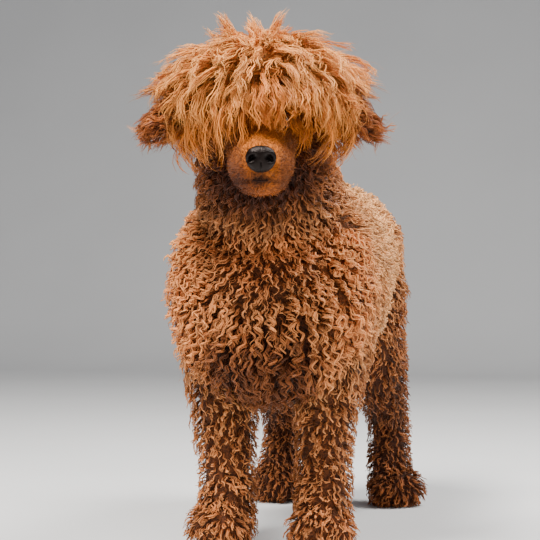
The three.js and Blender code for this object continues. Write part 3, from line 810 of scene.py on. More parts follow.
@dataclass
class Skin:
    """The one skin under the whole coat: limbs, skull and muzzle fused, smoothed and carved.

    Attributes:
        grain: edge of a face, in metres.
        smoothing: how often the fused surface is relaxed.
        crease: depth and half height of the line of the lips, in mm.
        groove: depth and half width of the groove under the nose, in mm.
        socket: depth of an eye socket, and how far from its middle it starts and is full, in mm.
        obj: the piece.
        points: its vertices, in metres.
        normals: their outward normals.
        growth: what grows at each of them.
    """

    grain: float = 0.0041
    smoothing: int = 8
    crease: tuple[float, float] = (3.6, 2.2)
    groove: tuple[float, float] = (2.0, 1.6)
    socket: Triple = (9.0, 13.5, 7.0)
    obj: bpy.types.Object = field(init=False)
    points: Array = field(init=False)
    normals: Array = field(init=False)
    growth: Growth = field(init=False)

    def __post_init__(self) -> None:
        """Builds the mesh and reads its growth."""
        self.obj = self.fuse()
        self.carve()
        self.points, self.normals = vertex_data(self.obj.data)
        self.growth = self.read_growth()

    def fuse(self) -> bpy.types.Object:
        """All limbs and the head's forms in one mesh, remeshed into one surface of even grain.

        Returns:
            The skin's piece, not yet carved.
        """
        shells = [limb.shell() for limb in LIMBS] + [ball(at, half) for at, half in HEAD_FORMS]
        start = np.cumsum([0] + [len(p) for p, _ in shells])
        points = np.vstack([p for p, _ in shells])
        faces = np.vstack([f + s for (_, f), s in zip(shells, start)])
        raw = make_mesh("skin_raw", points, faces)
        remesh = raw.modifiers.new("fuse", "REMESH")
        remesh.mode = "VOXEL"
        remesh.voxel_size = self.grain
        relax = raw.modifiers.new("relax", "SMOOTH")
        relax.iterations = self.smoothing
        relax.factor = 0.5
        done = raw.evaluated_get(bpy.context.evaluated_depsgraph_get())
        mesh = bpy.data.meshes.new_from_object(done)
        bpy.data.objects.remove(raw)
        mesh.name = "skin"
        mesh.polygons.foreach_set("use_smooth", np.ones(len(mesh.polygons), bool))
        obj = bpy.data.objects.new("skin", mesh)
        bpy.context.scene.collection.objects.link(obj)
        return obj

    def carve(self) -> None:
        """Sinks the lips' line, the groove under the nose and the eye sockets, and flattens the soles.

        Line and groove are bell-shaped furrows along the normals, a socket sinks along the line of sight.
        """
        co, no = vertex_data(self.obj.data)
        own = moved(co, HEAD.inverted())
        x, y, z = own.T
        deep, tall = self.crease
        lips = deep * np.exp(-(((z - lip_level(x, y)) / tall) ** 2)) * smooth(-60, -88, y)
        lips = lips * (0.3 + 0.7 * np.exp(-((x / 17) ** 2)))
        deep, wide = self.groove
        groove = deep * np.exp(-((x / wide) ** 2)) * smooth(-136, -146, y)
        groove = groove * smooth(-84, -78, z) * smooth(-52, -60, z)
        sunk = co - no * upright((lips + groove) / 1000)
        deep, start, full = self.socket
        for sign in (-1, 1):
            middle, gaze = eye_lines(sign)
            d = own - middle
            across = np.linalg.norm(d - upright(d @ gaze) * gaze, axis=1)
            sink = deep * smooth(start, full, across) * ((d @ gaze) > -4)
            sunk -= (upright(sink) * gaze) @ HEAD_AXES
        sunk[:, 2] = np.maximum(sunk[:, 2], SOLE_LEVEL)
        self.obj.data.vertices.foreach_set("co", sunk.astype(np.float32).ravel())
        self.obj.data.update()

    def read_head(self, own: Array, face: Array) -> list[tuple[Array, Array, Array, Array]]:
        """How near each vertex lies to the mop's cushion and to the skull, in the way of Limb.read.

        The mop's hair runs outwards and down, steeper from the crown to the rim, and the skull's runs back.

        Args:
            own: vertices in the head's mm.
            face: how far each one belongs to the short-haired face, 0 to 1.

        Returns:
            Distance, lie, depth of coat in mm and unrolled place, for the cushion and for the skull.
        """
        cushion = np.linalg.norm((own - np.array(CUSHION_AT)) / np.array(CUSHION_HALF), axis=1)
        level = unit(own - np.array(CUSHION_AT)) @ TILT.T
        down = np.degrees(np.arccos(np.clip(level[:, 2], -1, 1)))
        dive = upright(smooth(20, 110, down))
        fall = unit(level * [1, 1, 0]) * (1 - 0.6 * dive) + np.array([0, 0, -1.0]) * (0.25 + 1.1 * dive)
        inside = own - np.array(BALL_AT)
        radius = np.linalg.norm(inside / np.array(BALL_HALF), axis=1)
        gap = np.linalg.norm(inside, axis=1) * (1 / np.maximum(radius, 0.3) - 1)
        mop = np.clip(gap, *MOP_DEPTH) / (1 - SKIN_SHARE)
        skull = np.linalg.norm((own - np.array(SKULL_AT)) / np.array(SKULL_HALF), axis=1)
        back = unit(np.array([0.0, 0.75, -0.6]) + np.sign(own[:, :1]) * [0.35, 0, 0])
        whiskers = smooth(40, 62, np.abs(own[:, 0])) * smooth(-64, -30, own[:, 1])
        cheek = CHEEK_DEPTH + CHEEK_MORE * np.maximum(whiskers, smooth(-50, -8, own[:, 1]))
        chart = np.stack([np.arctan2(own[:, 0], -own[:, 1]) / (2 * np.pi) + 0.5, down / 180], 1)
        return [
            (cushion, unit(unit(fall) @ TILT @ HEAD_AXES), mop * (1 - face) + face * FACE_DEPTH, chart),
            (skull, unit(back @ HEAD_AXES), cheek, chart),
        ]

    def read_growth(self) -> Growth:
        """Blends the wool of the nearest bodies at every vertex, and adds what changes over a body.

        A body weighs exp(-7 d), where d is the distance from its surface as a share of its half size.

        Returns:
            The growth.
        """
        own, mm = moved(self.points, HEAD.inverted()), moved(self.points, ROW.inverted())
        face = smooth(-14, -34, own[:, 1]) * smooth(16, 6, own[:, 2])
        readings = [limb.read(self.points) for limb in LIMBS] + self.read_head(own, face)
        near, ways, depths, charts = (np.stack(part, 1) for part in zip(*readings))
        zones = [limb.zone for limb in LIMBS] + [Zone.TOPKNOT, Zone.CHEEK]
        rows = np.arange(len(own))
        weight = np.exp(-7.0 * np.abs(near - 1)) * (near < 1.9)
        weight[rows, np.abs(near - 1).argmin(1)] += 1e-3
        weight /= weight.sum(1, keepdims=True)
        pick = weight.argmax(1)
        numbers = weight @ np.array([wool_row(zone) for zone in zones])
        tint = weight @ np.array([linear(WOOL[zone].colour) for zone in zones])
        height = (weight * depths).sum(1) * (1 - SKIN_SHARE) * 0.001
        height = height * (1 + 0.36 * np.isin(pick, EARS))
        for patch in DEPTHS:
            height *= patch.over(mm, pick)
        height *= 1 - 0.55 * smooth(62, 34, off_chin(own)) * (pick == Body.NECK)

        chest = upright(smooth(10, -70, mm[:, 1]) * (pick == Body.TORSO))
        numbers = numbers * (1 - chest) + wool_row(Zone.CHEST) * chest
        tint = tint * (1 - chest) + linear(WOOL[Zone.CHEST].colour) * chest
        numbers[:, COLUMNS.index("density")] *= 1 - 0.4 * smooth(-0.2, -0.8, self.normals[:, 2])
        low = chest * upright(smooth(430, 350, mm[:, 2]))
        numbers *= 1 + low * np.array([LOW_CHEST.get(name, 0.0) for name in COLUMNS])
        way = self.lie((weight[:, :, None] * ways).sum(1), own, mm, pick, chest)

        zone = np.array([zone.value for zone in zones])[pick]
        zone = np.where(chest[:, 0] > 0.5, Zone.CHEST.value, zone)
        zone = np.where((zone == Zone.TOPKNOT.value) & (face > 0.5), Zone.CHEEK.value, zone)
        bare = upright((zone == Zone.CHEEK.value) & (face > 0.5))
        numbers = numbers * (1 - bare) + wool_row(Zone.CHEEK) * bare
        tint = tint * (1 - bare) + linear(WOOL[Zone.CHEEK].colour) * bare
        cell = np.stack([pick % CHARTS, pick // CHARTS], 1)
        unrolled = (charts[rows, pick] * 0.92 + 0.04 + cell) / CHARTS
        colour = self.painted_shade_and_markings(tint, mm, own, pick, near[:, Body.MUZZLE])
        return Growth(zone, way, height, numbers, colour, unrolled)

    def lie(self, way: Array, own: Array, mm: Array, pick: Array, chest: Array) -> Array:
        """Which way the hair lies: with the bodies, and away from the throat over the chest.

        Args:
            way: lie blended from the bodies.
            own: vertices in the head's mm.
            mm: vertices in the dog's mm.
            pick: which body each vertex belongs to.
            chest: how far each one belongs to the chest, as a column.

        Returns:
            Directions one long, along the skin.
        """
        torso = upright(pick == Body.TORSO)
        way = way * (1 - torso) + torso * (way * 0.7 + np.array([0.0, 0.55, -0.85]) * 0.6)
        away = unit(mm - np.array(THROAT))
        away[:, 0] *= smooth(0, 70, np.abs(mm[:, 0] - THROAT[0]))
        way = way * (1 - chest) + chest * (away + np.array([0.0, 0.1, -0.45]))
        way = way + upright(np.isin(pick, LEGS)) * np.array([0, 0.15, -0.5])
        aside = (np.sign(own[:, :1]) * [1, 0, 0] + np.array([0, 0, 0.1])) @ HEAD_AXES * 1000
        way = way + upright(np.isin(pick, EARS)) * aside * 0.6
        paws = upright(np.isin(pick, PAWS))
        way = way * (1 - paws) + paws * (unit(self.normals * [1, 1, 0]) * 0.7 + np.array([0, 0, -1.0]))
        return unit(way - self.normals * dot(way, self.normals))

    def painted_shade_and_markings(self, tint: Array, mm: Array, own: Array, pick: Array, off_muzzle: Array) -> Array:
        """Colour over the body, most of it painted light and shade.

        Painted light makes the sides of the chest, the upper chest and the back paler. Painted shade makes the
        throat under the head, the low middle of the chest, the thighs from behind and the legs' inner sides
        darker, the forehead's hollow under the fringe and the mop's low front a deeper orange, and the muzzle
        darker at its sides, under the nose, round the chin and to its lips, whose own dark skin adds to it.
        The muzzle's colour runs up over the bridge.

        Args:
            tint: colour blended from the wool, linear.
            mm: points in the dog's mm.
            own: points in the head's mm.
            pick: which body each point belongs to.
            off_muzzle: distance from the muzzle's middle line as a share of its half size.

        Returns:
            The colours.
        """
        x, y, z = mm.T
        front = smooth(30, -50, y)
        # painted shadow across the throat under the head, then painted light on the upper chest
        shade = 1 - 0.72 * np.exp(-(((x + 2) / 72) ** 2) - ((z - 520) / 34) ** 2) * front
        shade *= 1 + 0.6 * np.exp(-(((z - 445) / 45) ** 2)) * front * (pick <= Body.NECK)
        for patch in PAINTED_LIGHT_AND_SHADE:
            shade *= patch.over(mm, pick)
        x, y, z = own.T
        # painted shadow beside the muzzle and round the chin
        beside_muzzle_shadow = smooth(2.3, 1.4, off_muzzle) * smooth(-28, -50, z)
        shade *= 1 - 0.82 * np.maximum(smooth(74, 40, off_chin(own)), beside_muzzle_shadow) * (pick != Body.MUZZLE)
        shade = upright(shade)
        # painted shade takes more from green and blue than from red, so it warms as it darkens
        colour = tint * shade ** np.where(shade < 1, [1, 1.2, 1.4], 1.0)
        mop = pick == Body.CUSHION
        # painted shade in the forehead's hollow under the fringe
        hollow_shade = np.exp(-(((x - 6) / 19) ** 2)) * smooth(94, 44, z) * smooth(4, -26, y) * mop
        colour *= 1 - upright(hollow_shade) * np.array([0.35, 0.5, 0.62])
        # painted shade on the mop's low front, darker towards the bottom
        low_mop_shade = smooth(68, 24, z) * smooth(20, -20, y) * mop
        colour *= 1 - upright(low_mop_shade) * np.array([0.12, 0.2, 0.34])
        muzzle = (pick == Body.MUZZLE).astype(float)
        # the lips' own dark skin, with painted shade in their crease
        off_lip = np.abs(z - lip_level(x, y)) / (2.6 + 4.0 * np.exp(-((x / 15) ** 2)))
        lips = np.exp(-(off_lip**2)) * smooth(-84, -104, y) * muzzle
        lips *= 0.3 + 0.7 * np.exp(-((x / 18) ** 2))
        # painted shade in the groove under the nose
        under = np.exp(-((x / 12) ** 2)) * smooth(-56, -62, z) * smooth(-86, -80, z)
        under = under * smooth(-128, -140, y) * muzzle
        # painted shade on the muzzle's sides
        side = smooth(0, 16, np.abs(x) - np.interp(z, (-56, -22), (13, 19))) * muzzle
        colour *= upright(1 - 0.85 * lips - 0.6 * under * (1 - lips))
        colour *= 1 - upright(side) * np.array([0.48, 0.52, 0.62])
        colour *= 1 + upright(0.35 * smooth(-86, -100, z) * muzzle)
        bridge = upright(smooth(2.3, 1.5, off_muzzle) * smooth(-38, -22, z) * (pick >= Body.CUSHION))
        colour = colour * (1 - bridge) + linear(WOOL[Zone.MUZZLE].colour) * bridge
        return np.clip(colour, 0, 1)

    def dress(self) -> None:
        """Paints and finishes the skin, darker than its hair as painted shade deep in the coat, and puts it in
        place of the flesh nodes.
        """
        # painted shade: the skin between the strands is darker than its hair, and warmer as it darkens
        bare = np.array([SKIN_SHADE_FACTOR.get(zone, 0.18) for zone in Zone])[self.growth.zone]
        paint(self.obj, self.growth.colour * upright(bare) ** [1, 1.15, 1.3])
        self.obj.data.materials.append(CoatFinish(0.75, 0.4, 0.1).material("undercoat", False))
        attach(self.obj, "root")
        flesh = "head neck torso tail ear_left ear_right foreleg_left foreleg_right hindleg_left hindleg_right"
        paws = "forepaw_left forepaw_right hindpaw_left hindpaw_right"
        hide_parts(*flesh.split(), *paws.split())
        log.info("skin: %d faces", len(self.obj.data.polygons))


@dataclass
class Roots(Growth):
    """Places on the skin where hair is rooted, with all that the skin says there."""

    at: Array
    normal: Array

    def only(self, keep: Array) -> "Roots":
        """The roots picked by a mask or by indices."""
        return Roots(*(getattr(self, part.name)[keep] for part in fields(self)))


def scatter(skin: Skin, per_cm2: Array, rng: np.random.Generator) -> Roots:
    """Draws roots over the skin, as many to each triangle as its area and the density at its corners ask.

    Args:
        skin: the skin.
        per_cm2: density at every vertex.
        rng: the seeded source of chance.

    Returns:
        The roots, with every value blended from the triangle's corners.
    """
    tris = triangles_of(skin.obj.data)
    a, b, c = (skin.points[tris[:, k]] for k in range(3))
    area = np.linalg.norm(np.cross(b - a, c - a), axis=1) / 2 * 1e4
    expected = area * per_cm2[tris].mean(1)
    count = np.floor(expected + rng.random(len(tris))).astype(int)
    pick = np.repeat(np.arange(len(tris)), count)
    u, v = rng.random(len(pick)), rng.random(len(pick))
    over = u + v > 1
    u[over], v[over] = 1 - u[over], 1 - v[over]
    share = np.stack([1 - u - v, u, v], 1)
    corner = tris[pick]

    def mixed(values: Array) -> Array:
        """Values at the roots, blended from those at the corners."""
        return (values[corner] * share[..., None]).sum(1)

    g = skin.growth
    first = corner[np.arange(len(pick)), share.argmax(1)]
    normal = unit(mixed(skin.normals))
    way = mixed(g.way)
    return Roots(
        zone=g.zone[first],
        way=unit(way - normal * dot(way, normal)),
        height=(g.height[corner] * share).sum(1),
        numbers=mixed(g.numbers),
        colour=mixed(g.colour),
        unrolled=g.unrolled[first],
        at=mixed(skin.points),
        normal=normal,
    )


def patches(points: Array, size: float) -> Array:
    """Two smooth fields of about -1 to 1 over space, each the sum of three crossed and bent sines.

    Args:
        points: where they are read.
        size: size of their patches, in metres.

    Returns:
        Two columns.
    """
    ways = np.array([[1.0, 0.62, -0.4], [-0.5, 1.0, 0.73], [0.35, -0.66, 1.0]])
    p = points @ ways.T * (np.pi / size)
    bent = p + 1.7 * np.sin(p[:, [1, 2, 0]] * 0.61)
    return np.stack([np.sin(bent).sum(1), np.sin(bent * 0.83 + 2.0).sum(1)], 1) / 1.8


RISE_SPREAD, SETTLE_SPREAD = 9, 12  # how far the angles of locks differ, in degrees
SWAY_SPREAD, BEND_SPREAD = 0.45, 0.6  # how far they lean aside at the root, and more towards the tip
PHASE_SPREAD, TURNS_SPREAD, CURL_SPREAD = 0.35, 0.25, 0.25  # how far their windings differ


def guide_paths(roots: Roots, rng: np.random.Generator, level: Array) -> Array:
    """The middle line of each lock.

    A lock leaves the skin at its rise and turns over towards its settling angle, sways to one side,
    sags by its droop, and winds round its own line as a helix that widens from the root.

    Args:
        roots: where the locks are rooted.
        rng: the seeded source of chance.
        level: how full each lock is, near 1.

    Returns:
        Points, locks by STEPS by 3, in metres.
    """
    n = len(roots.at)
    s = np.linspace(0, 1, STEPS)[None, :]

    def chance(size: float) -> Array:
        """One random number for each lock, as a column."""
        return rng.normal(0, size, (n, 1))

    def asked(name: str) -> Array:
        """One of the wool's numbers for each lock, as a column."""
        return upright(roots.column(name))

    rise = np.radians(asked("rise") + chance(RISE_SPREAD))
    settle = np.radians(asked("settle") + chance(SETTLE_SPREAD))
    angle = rise + (settle - rise) * s ** asked("hook")
    climb = np.cumsum(np.sin(angle), 1) / STEPS
    least = 0.45 * np.sin(np.radians(asked("rise")))
    length = upright(roots.height) * upright(level) / np.maximum(climb.max(1, keepdims=True), least)
    lean = patches(roots.at[:, [1, 2, 0]], 0.06)
    sway = lean[:, :1] + chance(SWAY_SPREAD) + (lean[:, 1:2] + chance(BEND_SPREAD)) * s
    sway = sway * asked("wander")
    side = np.cross(roots.normal, roots.way)
    along = (
        roots.way[:, None] * (np.cos(angle) * np.cos(sway))[..., None]
        + side[:, None] * (np.cos(angle) * np.sin(sway))[..., None]
        + roots.normal[:, None] * np.sin(angle)[..., None]
    )
    steps = along * (length / (STEPS - 1))[..., None]
    path = np.cumsum(np.concatenate([np.zeros((n, 1, 3)), steps[:, :-1]], 1), 1)
    path[..., 2] -= asked("droop") * length * s**2
    drift = patches(roots.at, 0.03)
    phase = 2 * np.pi * drift[:, :1] + chance(PHASE_SPREAD)
    hand = np.where(drift[:, 1:2] > 0, -1, 1)
    free = np.clip((s - 0.2) / 0.8, 0, 1)
    wind = phase + hand * 2 * np.pi * (asked("turns") + chance(TURNS_SPREAD)) * free
    widen = asked("curl") * 0.001 * (1 + chance(CURL_SPREAD)) * smooth(0, 0.35, free)
    across = unit(np.cross(roots.normal, path[:, -1] - path[:, 0]))[:, None]
    up = unit(np.cross(along, across))
    path += across * (widen * np.cos(wind))[..., None] + up * (0.6 * widen * np.sin(wind))[..., None]
    sunk = np.minimum(0.002, 0.1 * roots.height)[:, None, None]
    return roots.at[:, None] - roots.normal[:, None] * sunk + path - path[:, :1]


@dataclass(frozen=True)
class Topknot:
    """How the mop of the head lies: each lock leaves the skull, swells to the hair ball and falls along it.

    Angles are in degrees. Polar angles run from straight up, and headings from the face towards the
    dog's left, both in the hair ball stretched to a unit ball.

    Attributes:
        fall: how much farther down a tip lies than its root, by the root's polar angle.
        fringe: polar angle that no tip passes, by its heading.
        swell: radius at the tip, by its polar angle.
        tufts: root and tip of each standing tuft, in the head's mm.
        waves: how often a lock bends.
    """

    fall: tuple[tuple[float, float], ...] = ((0, 10), (20, 24), (45, 40), (80, 58), (115, 66))
    fringe: tuple[tuple[float, float], ...] = (
        *((-180, 126), (-112, 124), (-98, 128), (-84, 132), (-72, 160), (-34, 162), (-22, 150), (-13, 148)),
        *((-8, 124), (-2, 118), (5, 122), (10, 132), (13, 150), (15.5, 108), (30, 110), (33, 146)),
        *((36, 160), (72, 162), (84, 132), (98, 128), (112, 124), (180, 126)),
    )
    swell: tuple[tuple[float, float], ...] = (
        *((0, 0.87), (25, 0.99), (45, 1.05), (60, 1.06)),
        *((85, 1.03), (115, 1.0), (140, 1.02), (165, 1.24)),
    )
    tufts: tuple[tuple[Triple, Triple], ...] = (
        ((8, 22, 94), (38, 34, 135)),
        ((-42, 24, 86), (-60, 34, 132)),
        ((-6, 26, 94), (-20, 34, 126)),
        ((70, 20, 74), (128, 14, 74)),
    )
    waves: float = 2.1

    def paths(self, roots: Roots, rng: np.random.Generator, level: Array) -> Array:
        """The middle lines of the topknot's locks, in metres.

        The polar angle grows evenly from the root's to the tip's, the radius swells early to the ball's,
        and two waves out of step bend the line. Locks rooted near a standing tuft run up to its tip.

        Args:
            roots: where the locks are rooted.
            rng: the seeded source of chance.
            level: how full each lock is, near 1.

        Returns:
            Points, locks by STEPS by 3.
        """
        n = len(roots.at)
        s = np.linspace(0, 1, STEPS)[None, :]
        inside = (moved(roots.at, HEAD.inverted()) - np.array(BALL_AT)) / np.array(BALL_HALF)
        start = np.linalg.norm(inside, axis=1)[:, None]
        d = unit(inside) @ TILT.T
        polar = np.degrees(np.arccos(np.clip(d[:, 2], -1, 1)))
        heading = np.degrees(np.arctan2(d[:, 0], -d[:, 1]))
        fall = np.interp(polar, *zip(*self.fall)) * rng.uniform(0.45, 1.1, n)
        heading_end = heading + rng.normal(0, 5, n) * np.clip(60 / np.maximum(polar, 15), 0.5, 3)
        wrapped = (heading_end + 180) % 360 - 180
        steady = 1 - 0.75 * np.exp(-(((wrapped - 20) / 6) ** 2))
        limit = np.interp(wrapped, *zip(*self.fringe)) + rng.normal(0, 7, n) * steady
        polar_end = np.maximum(np.minimum(polar + fall, limit), polar + 6)
        uneven = 1.0 + 0.04 * rng.normal(0, 1, n) * (polar < 60)
        outer = level * np.interp(polar_end, *zip(*self.swell)) * uneven
        phase = rng.random((2, n, 1)) * 2 * np.pi
        turns = self.waves * rng.uniform(0.7, 1.3, (n, 1)) * 2 * np.pi
        wave = s**0.7 * roots.column("curl")[:, None] * rng.uniform(0.5, 1.4, (n, 1))
        theta = np.radians(polar[:, None] + (polar_end - polar)[:, None] * s**0.9)
        phi = np.radians(heading[:, None] + (heading_end - heading)[:, None] * s)
        phi = phi + wave / 110 * np.sin(phase[0] + turns * s) / np.maximum(np.sin(theta), 0.35)
        radius = start + (np.maximum(outer[:, None], start + 0.06) - start) * (1 - (1 - s) ** 3.0)
        radius = radius + wave / 150 * np.sin(phase[1] + turns * 1.13 * s)
        radius = radius + rng.normal(0.01, 0.045, (n, 1)) * s**4
        wide = np.where(theta < np.pi / 2, np.sin(theta), 1 - (1 - np.sin(theta)) * 0.75)
        way = np.stack([wide * np.sin(phi), -wide * np.cos(phi), np.cos(theta)], -1)
        path = (way @ TILT) * radius[..., None] * np.array(BALL_HALF) + np.array(BALL_AT)
        own = path[:, :1]
        for base, tip in self.tufts:
            near = np.linalg.norm(own[:, 0] - np.array(base), axis=1)
            stand = smooth(17, 12, near)[:, None, None]
            jitter = rng.normal(0, 3.5, (n, 1, 3)) * s[..., None]
            bow = np.sin(np.pi * s)[..., None] * np.array([np.sign(tip[0]) * -4.0, 6.0, 0.0])
            up = own + (np.array(tip) - own) * s[..., None] * rng.uniform(0.75, 1, (n, 1, 1)) + bow + jitter
            path = path * (1 - stand) + up * stand
        return moved(path, HEAD)


def nearest(points: Array, others: Array) -> tuple[Array, Array]:
    """The nearest of the others for each point, by squared distances, worked through in blocks.

    Args:
        points: points.
        others: points to choose from.

    Returns:
        The index of the nearest and how far it is.
    """
    best, far = np.empty(len(points), int), np.empty(len(points))
    size = (others**2).sum(1)
    for start in range(0, len(points), BLOCK):
        p = points[start : start + BLOCK]
        d = (p**2).sum(1)[:, None] + size - 2 * p @ others.T
        pick = d.argmin(1)
        best[start : start + BLOCK] = pick
        far[start : start + BLOCK] = np.sqrt(np.maximum(d[np.arange(len(p)), pick], 0))
    return best, far


@dataclass(frozen=True)
class Strand:
    """The section of a strand of hair.

    Attributes:
        rings: rings along it.
        sides: points in a ring.
        flat: thickness as a share of the width.
        blunt: 0 where it narrows all the way, 1 where its end is full.
    """

    rings: int = 5
    sides: int = 3
    flat: float = 0.5
    blunt: float = 0.0

    def sweep(self, path: Array, normal: Array, width: Array) -> tuple[Array, Array, Array, Array]:
        """Carries a flattened ring along each path, widest a third of the way and closed to a point.

        Args:
            path: strands by STEPS by 3.
            normal: the skin's normal at each root.
            width: full width of each strand.

        Returns:
            Points, triangles, each point's share of the way to the tip, and its place round the strand.
        """
        n, rings, sides = len(path), self.rings, self.sides
        s = np.append(np.linspace(0, 1, rings) ** 0.75 * (0.86 + 0.08 * self.blunt), 1.0)
        x = s * (STEPS - 1)
        i = np.minimum(x.astype(int), STEPS - 2)
        f = (x - i)[None, :, None]
        line = path[:, i] * (1 - f) + path[:, i + 1] * f
        tangent = unit(np.gradient(line, axis=1))
        aside = unit(np.cross(normal, line[:, -1] - line[:, 0]))[:, None]
        across = unit(aside - tangent * dot(aside, tangent))
        thick = np.cross(across, tangent)
        profile = (0.55, 0.9, 1, 0.78 + 0.15 * self.blunt, 0.1 + 0.6 * self.blunt)
        body = np.interp(s[:-1], (0, 0.14, 0.4, 0.75, 1), profile)
        a = np.linspace(0, 2 * np.pi, sides, endpoint=False) + np.pi / 2
        half = (width[:, None] / 2 * body)[:, :, None, None]
        ring = across[:, :-1, None] * np.cos(a)[:, None]
        ring = ring + thick[:, :-1, None] * (self.flat * np.sin(a))[:, None]
        points = np.concatenate([(line[:, :-1, None] + half * ring).reshape(n, -1, 3), line[:, -1:]], 1)
        quads = tube_faces(rings, sides)[:, ::-1]
        j = np.arange(sides)
        top = (rings - 1) * sides
        tip = np.stack([top + j, top + (j + 1) % sides, np.full(sides, rings * sides)], 1)[:, ::-1]
        floor = np.stack([np.zeros(sides - 2, int), j[1:-1], j[2:]], 1)
        one = np.vstack([quads[:, [0, 1, 2]], quads[:, [0, 2, 3]], tip, floor])
        per = rings * sides + 1
        faces = (one[None] + (np.arange(n) * per)[:, None, None]).reshape(-1, 3)
        way_up = np.append(np.repeat(s[:-1], sides), 1.0)
        about = np.append(np.tile(j / sides, rings), 0.5)
        return points.reshape(-1, 3), faces, way_up, about


@dataclass(frozen=True)
class Layer:
    """One layer of strands.

    Attributes:
        pieces: names of its pieces, with the zones that each covers.
        share: how many strands it has for each of the wool's.
        even: 1 to follow the wool's density, less to even it out.
        width: width for each of the wool's.
        gather: share of the wool's gather that it has.
        loose: how far tips stray, for each of the wool's.
        reach: shortest and longest strand, as a share of the lock's length.
        rings: rings in a strand, or 0 for what the zone asks.
    """

    pieces: dict[str, tuple[Zone, ...]]
    share: float
    even: float
    width: float
    gather: float
    loose: float
    reach: tuple[float, float]
    rings: int = 0


LOCKS = Layer(
    {f"coat_{zone.name.lower()}": (zone,) for zone in Zone},
    share=1.0, even=1.0, width=1.0, gather=1.0, loose=1.0, reach=(0.7, 1.0),
)  # fmt: skip
FRIZZ = Layer(
    {
        "frizz_body": (Zone.BACK, Zone.CHEST, Zone.NECK, Zone.LEG, Zone.PAW, Zone.TAIL),
        "frizz_head": (Zone.TOPKNOT, Zone.EAR, Zone.CHEEK),
    },
    share=0.3, even=0.35, width=0.28, gather=0.45, loose=2.5, reach=(0.85, 1.05), rings=4,
)  # fmt: skip


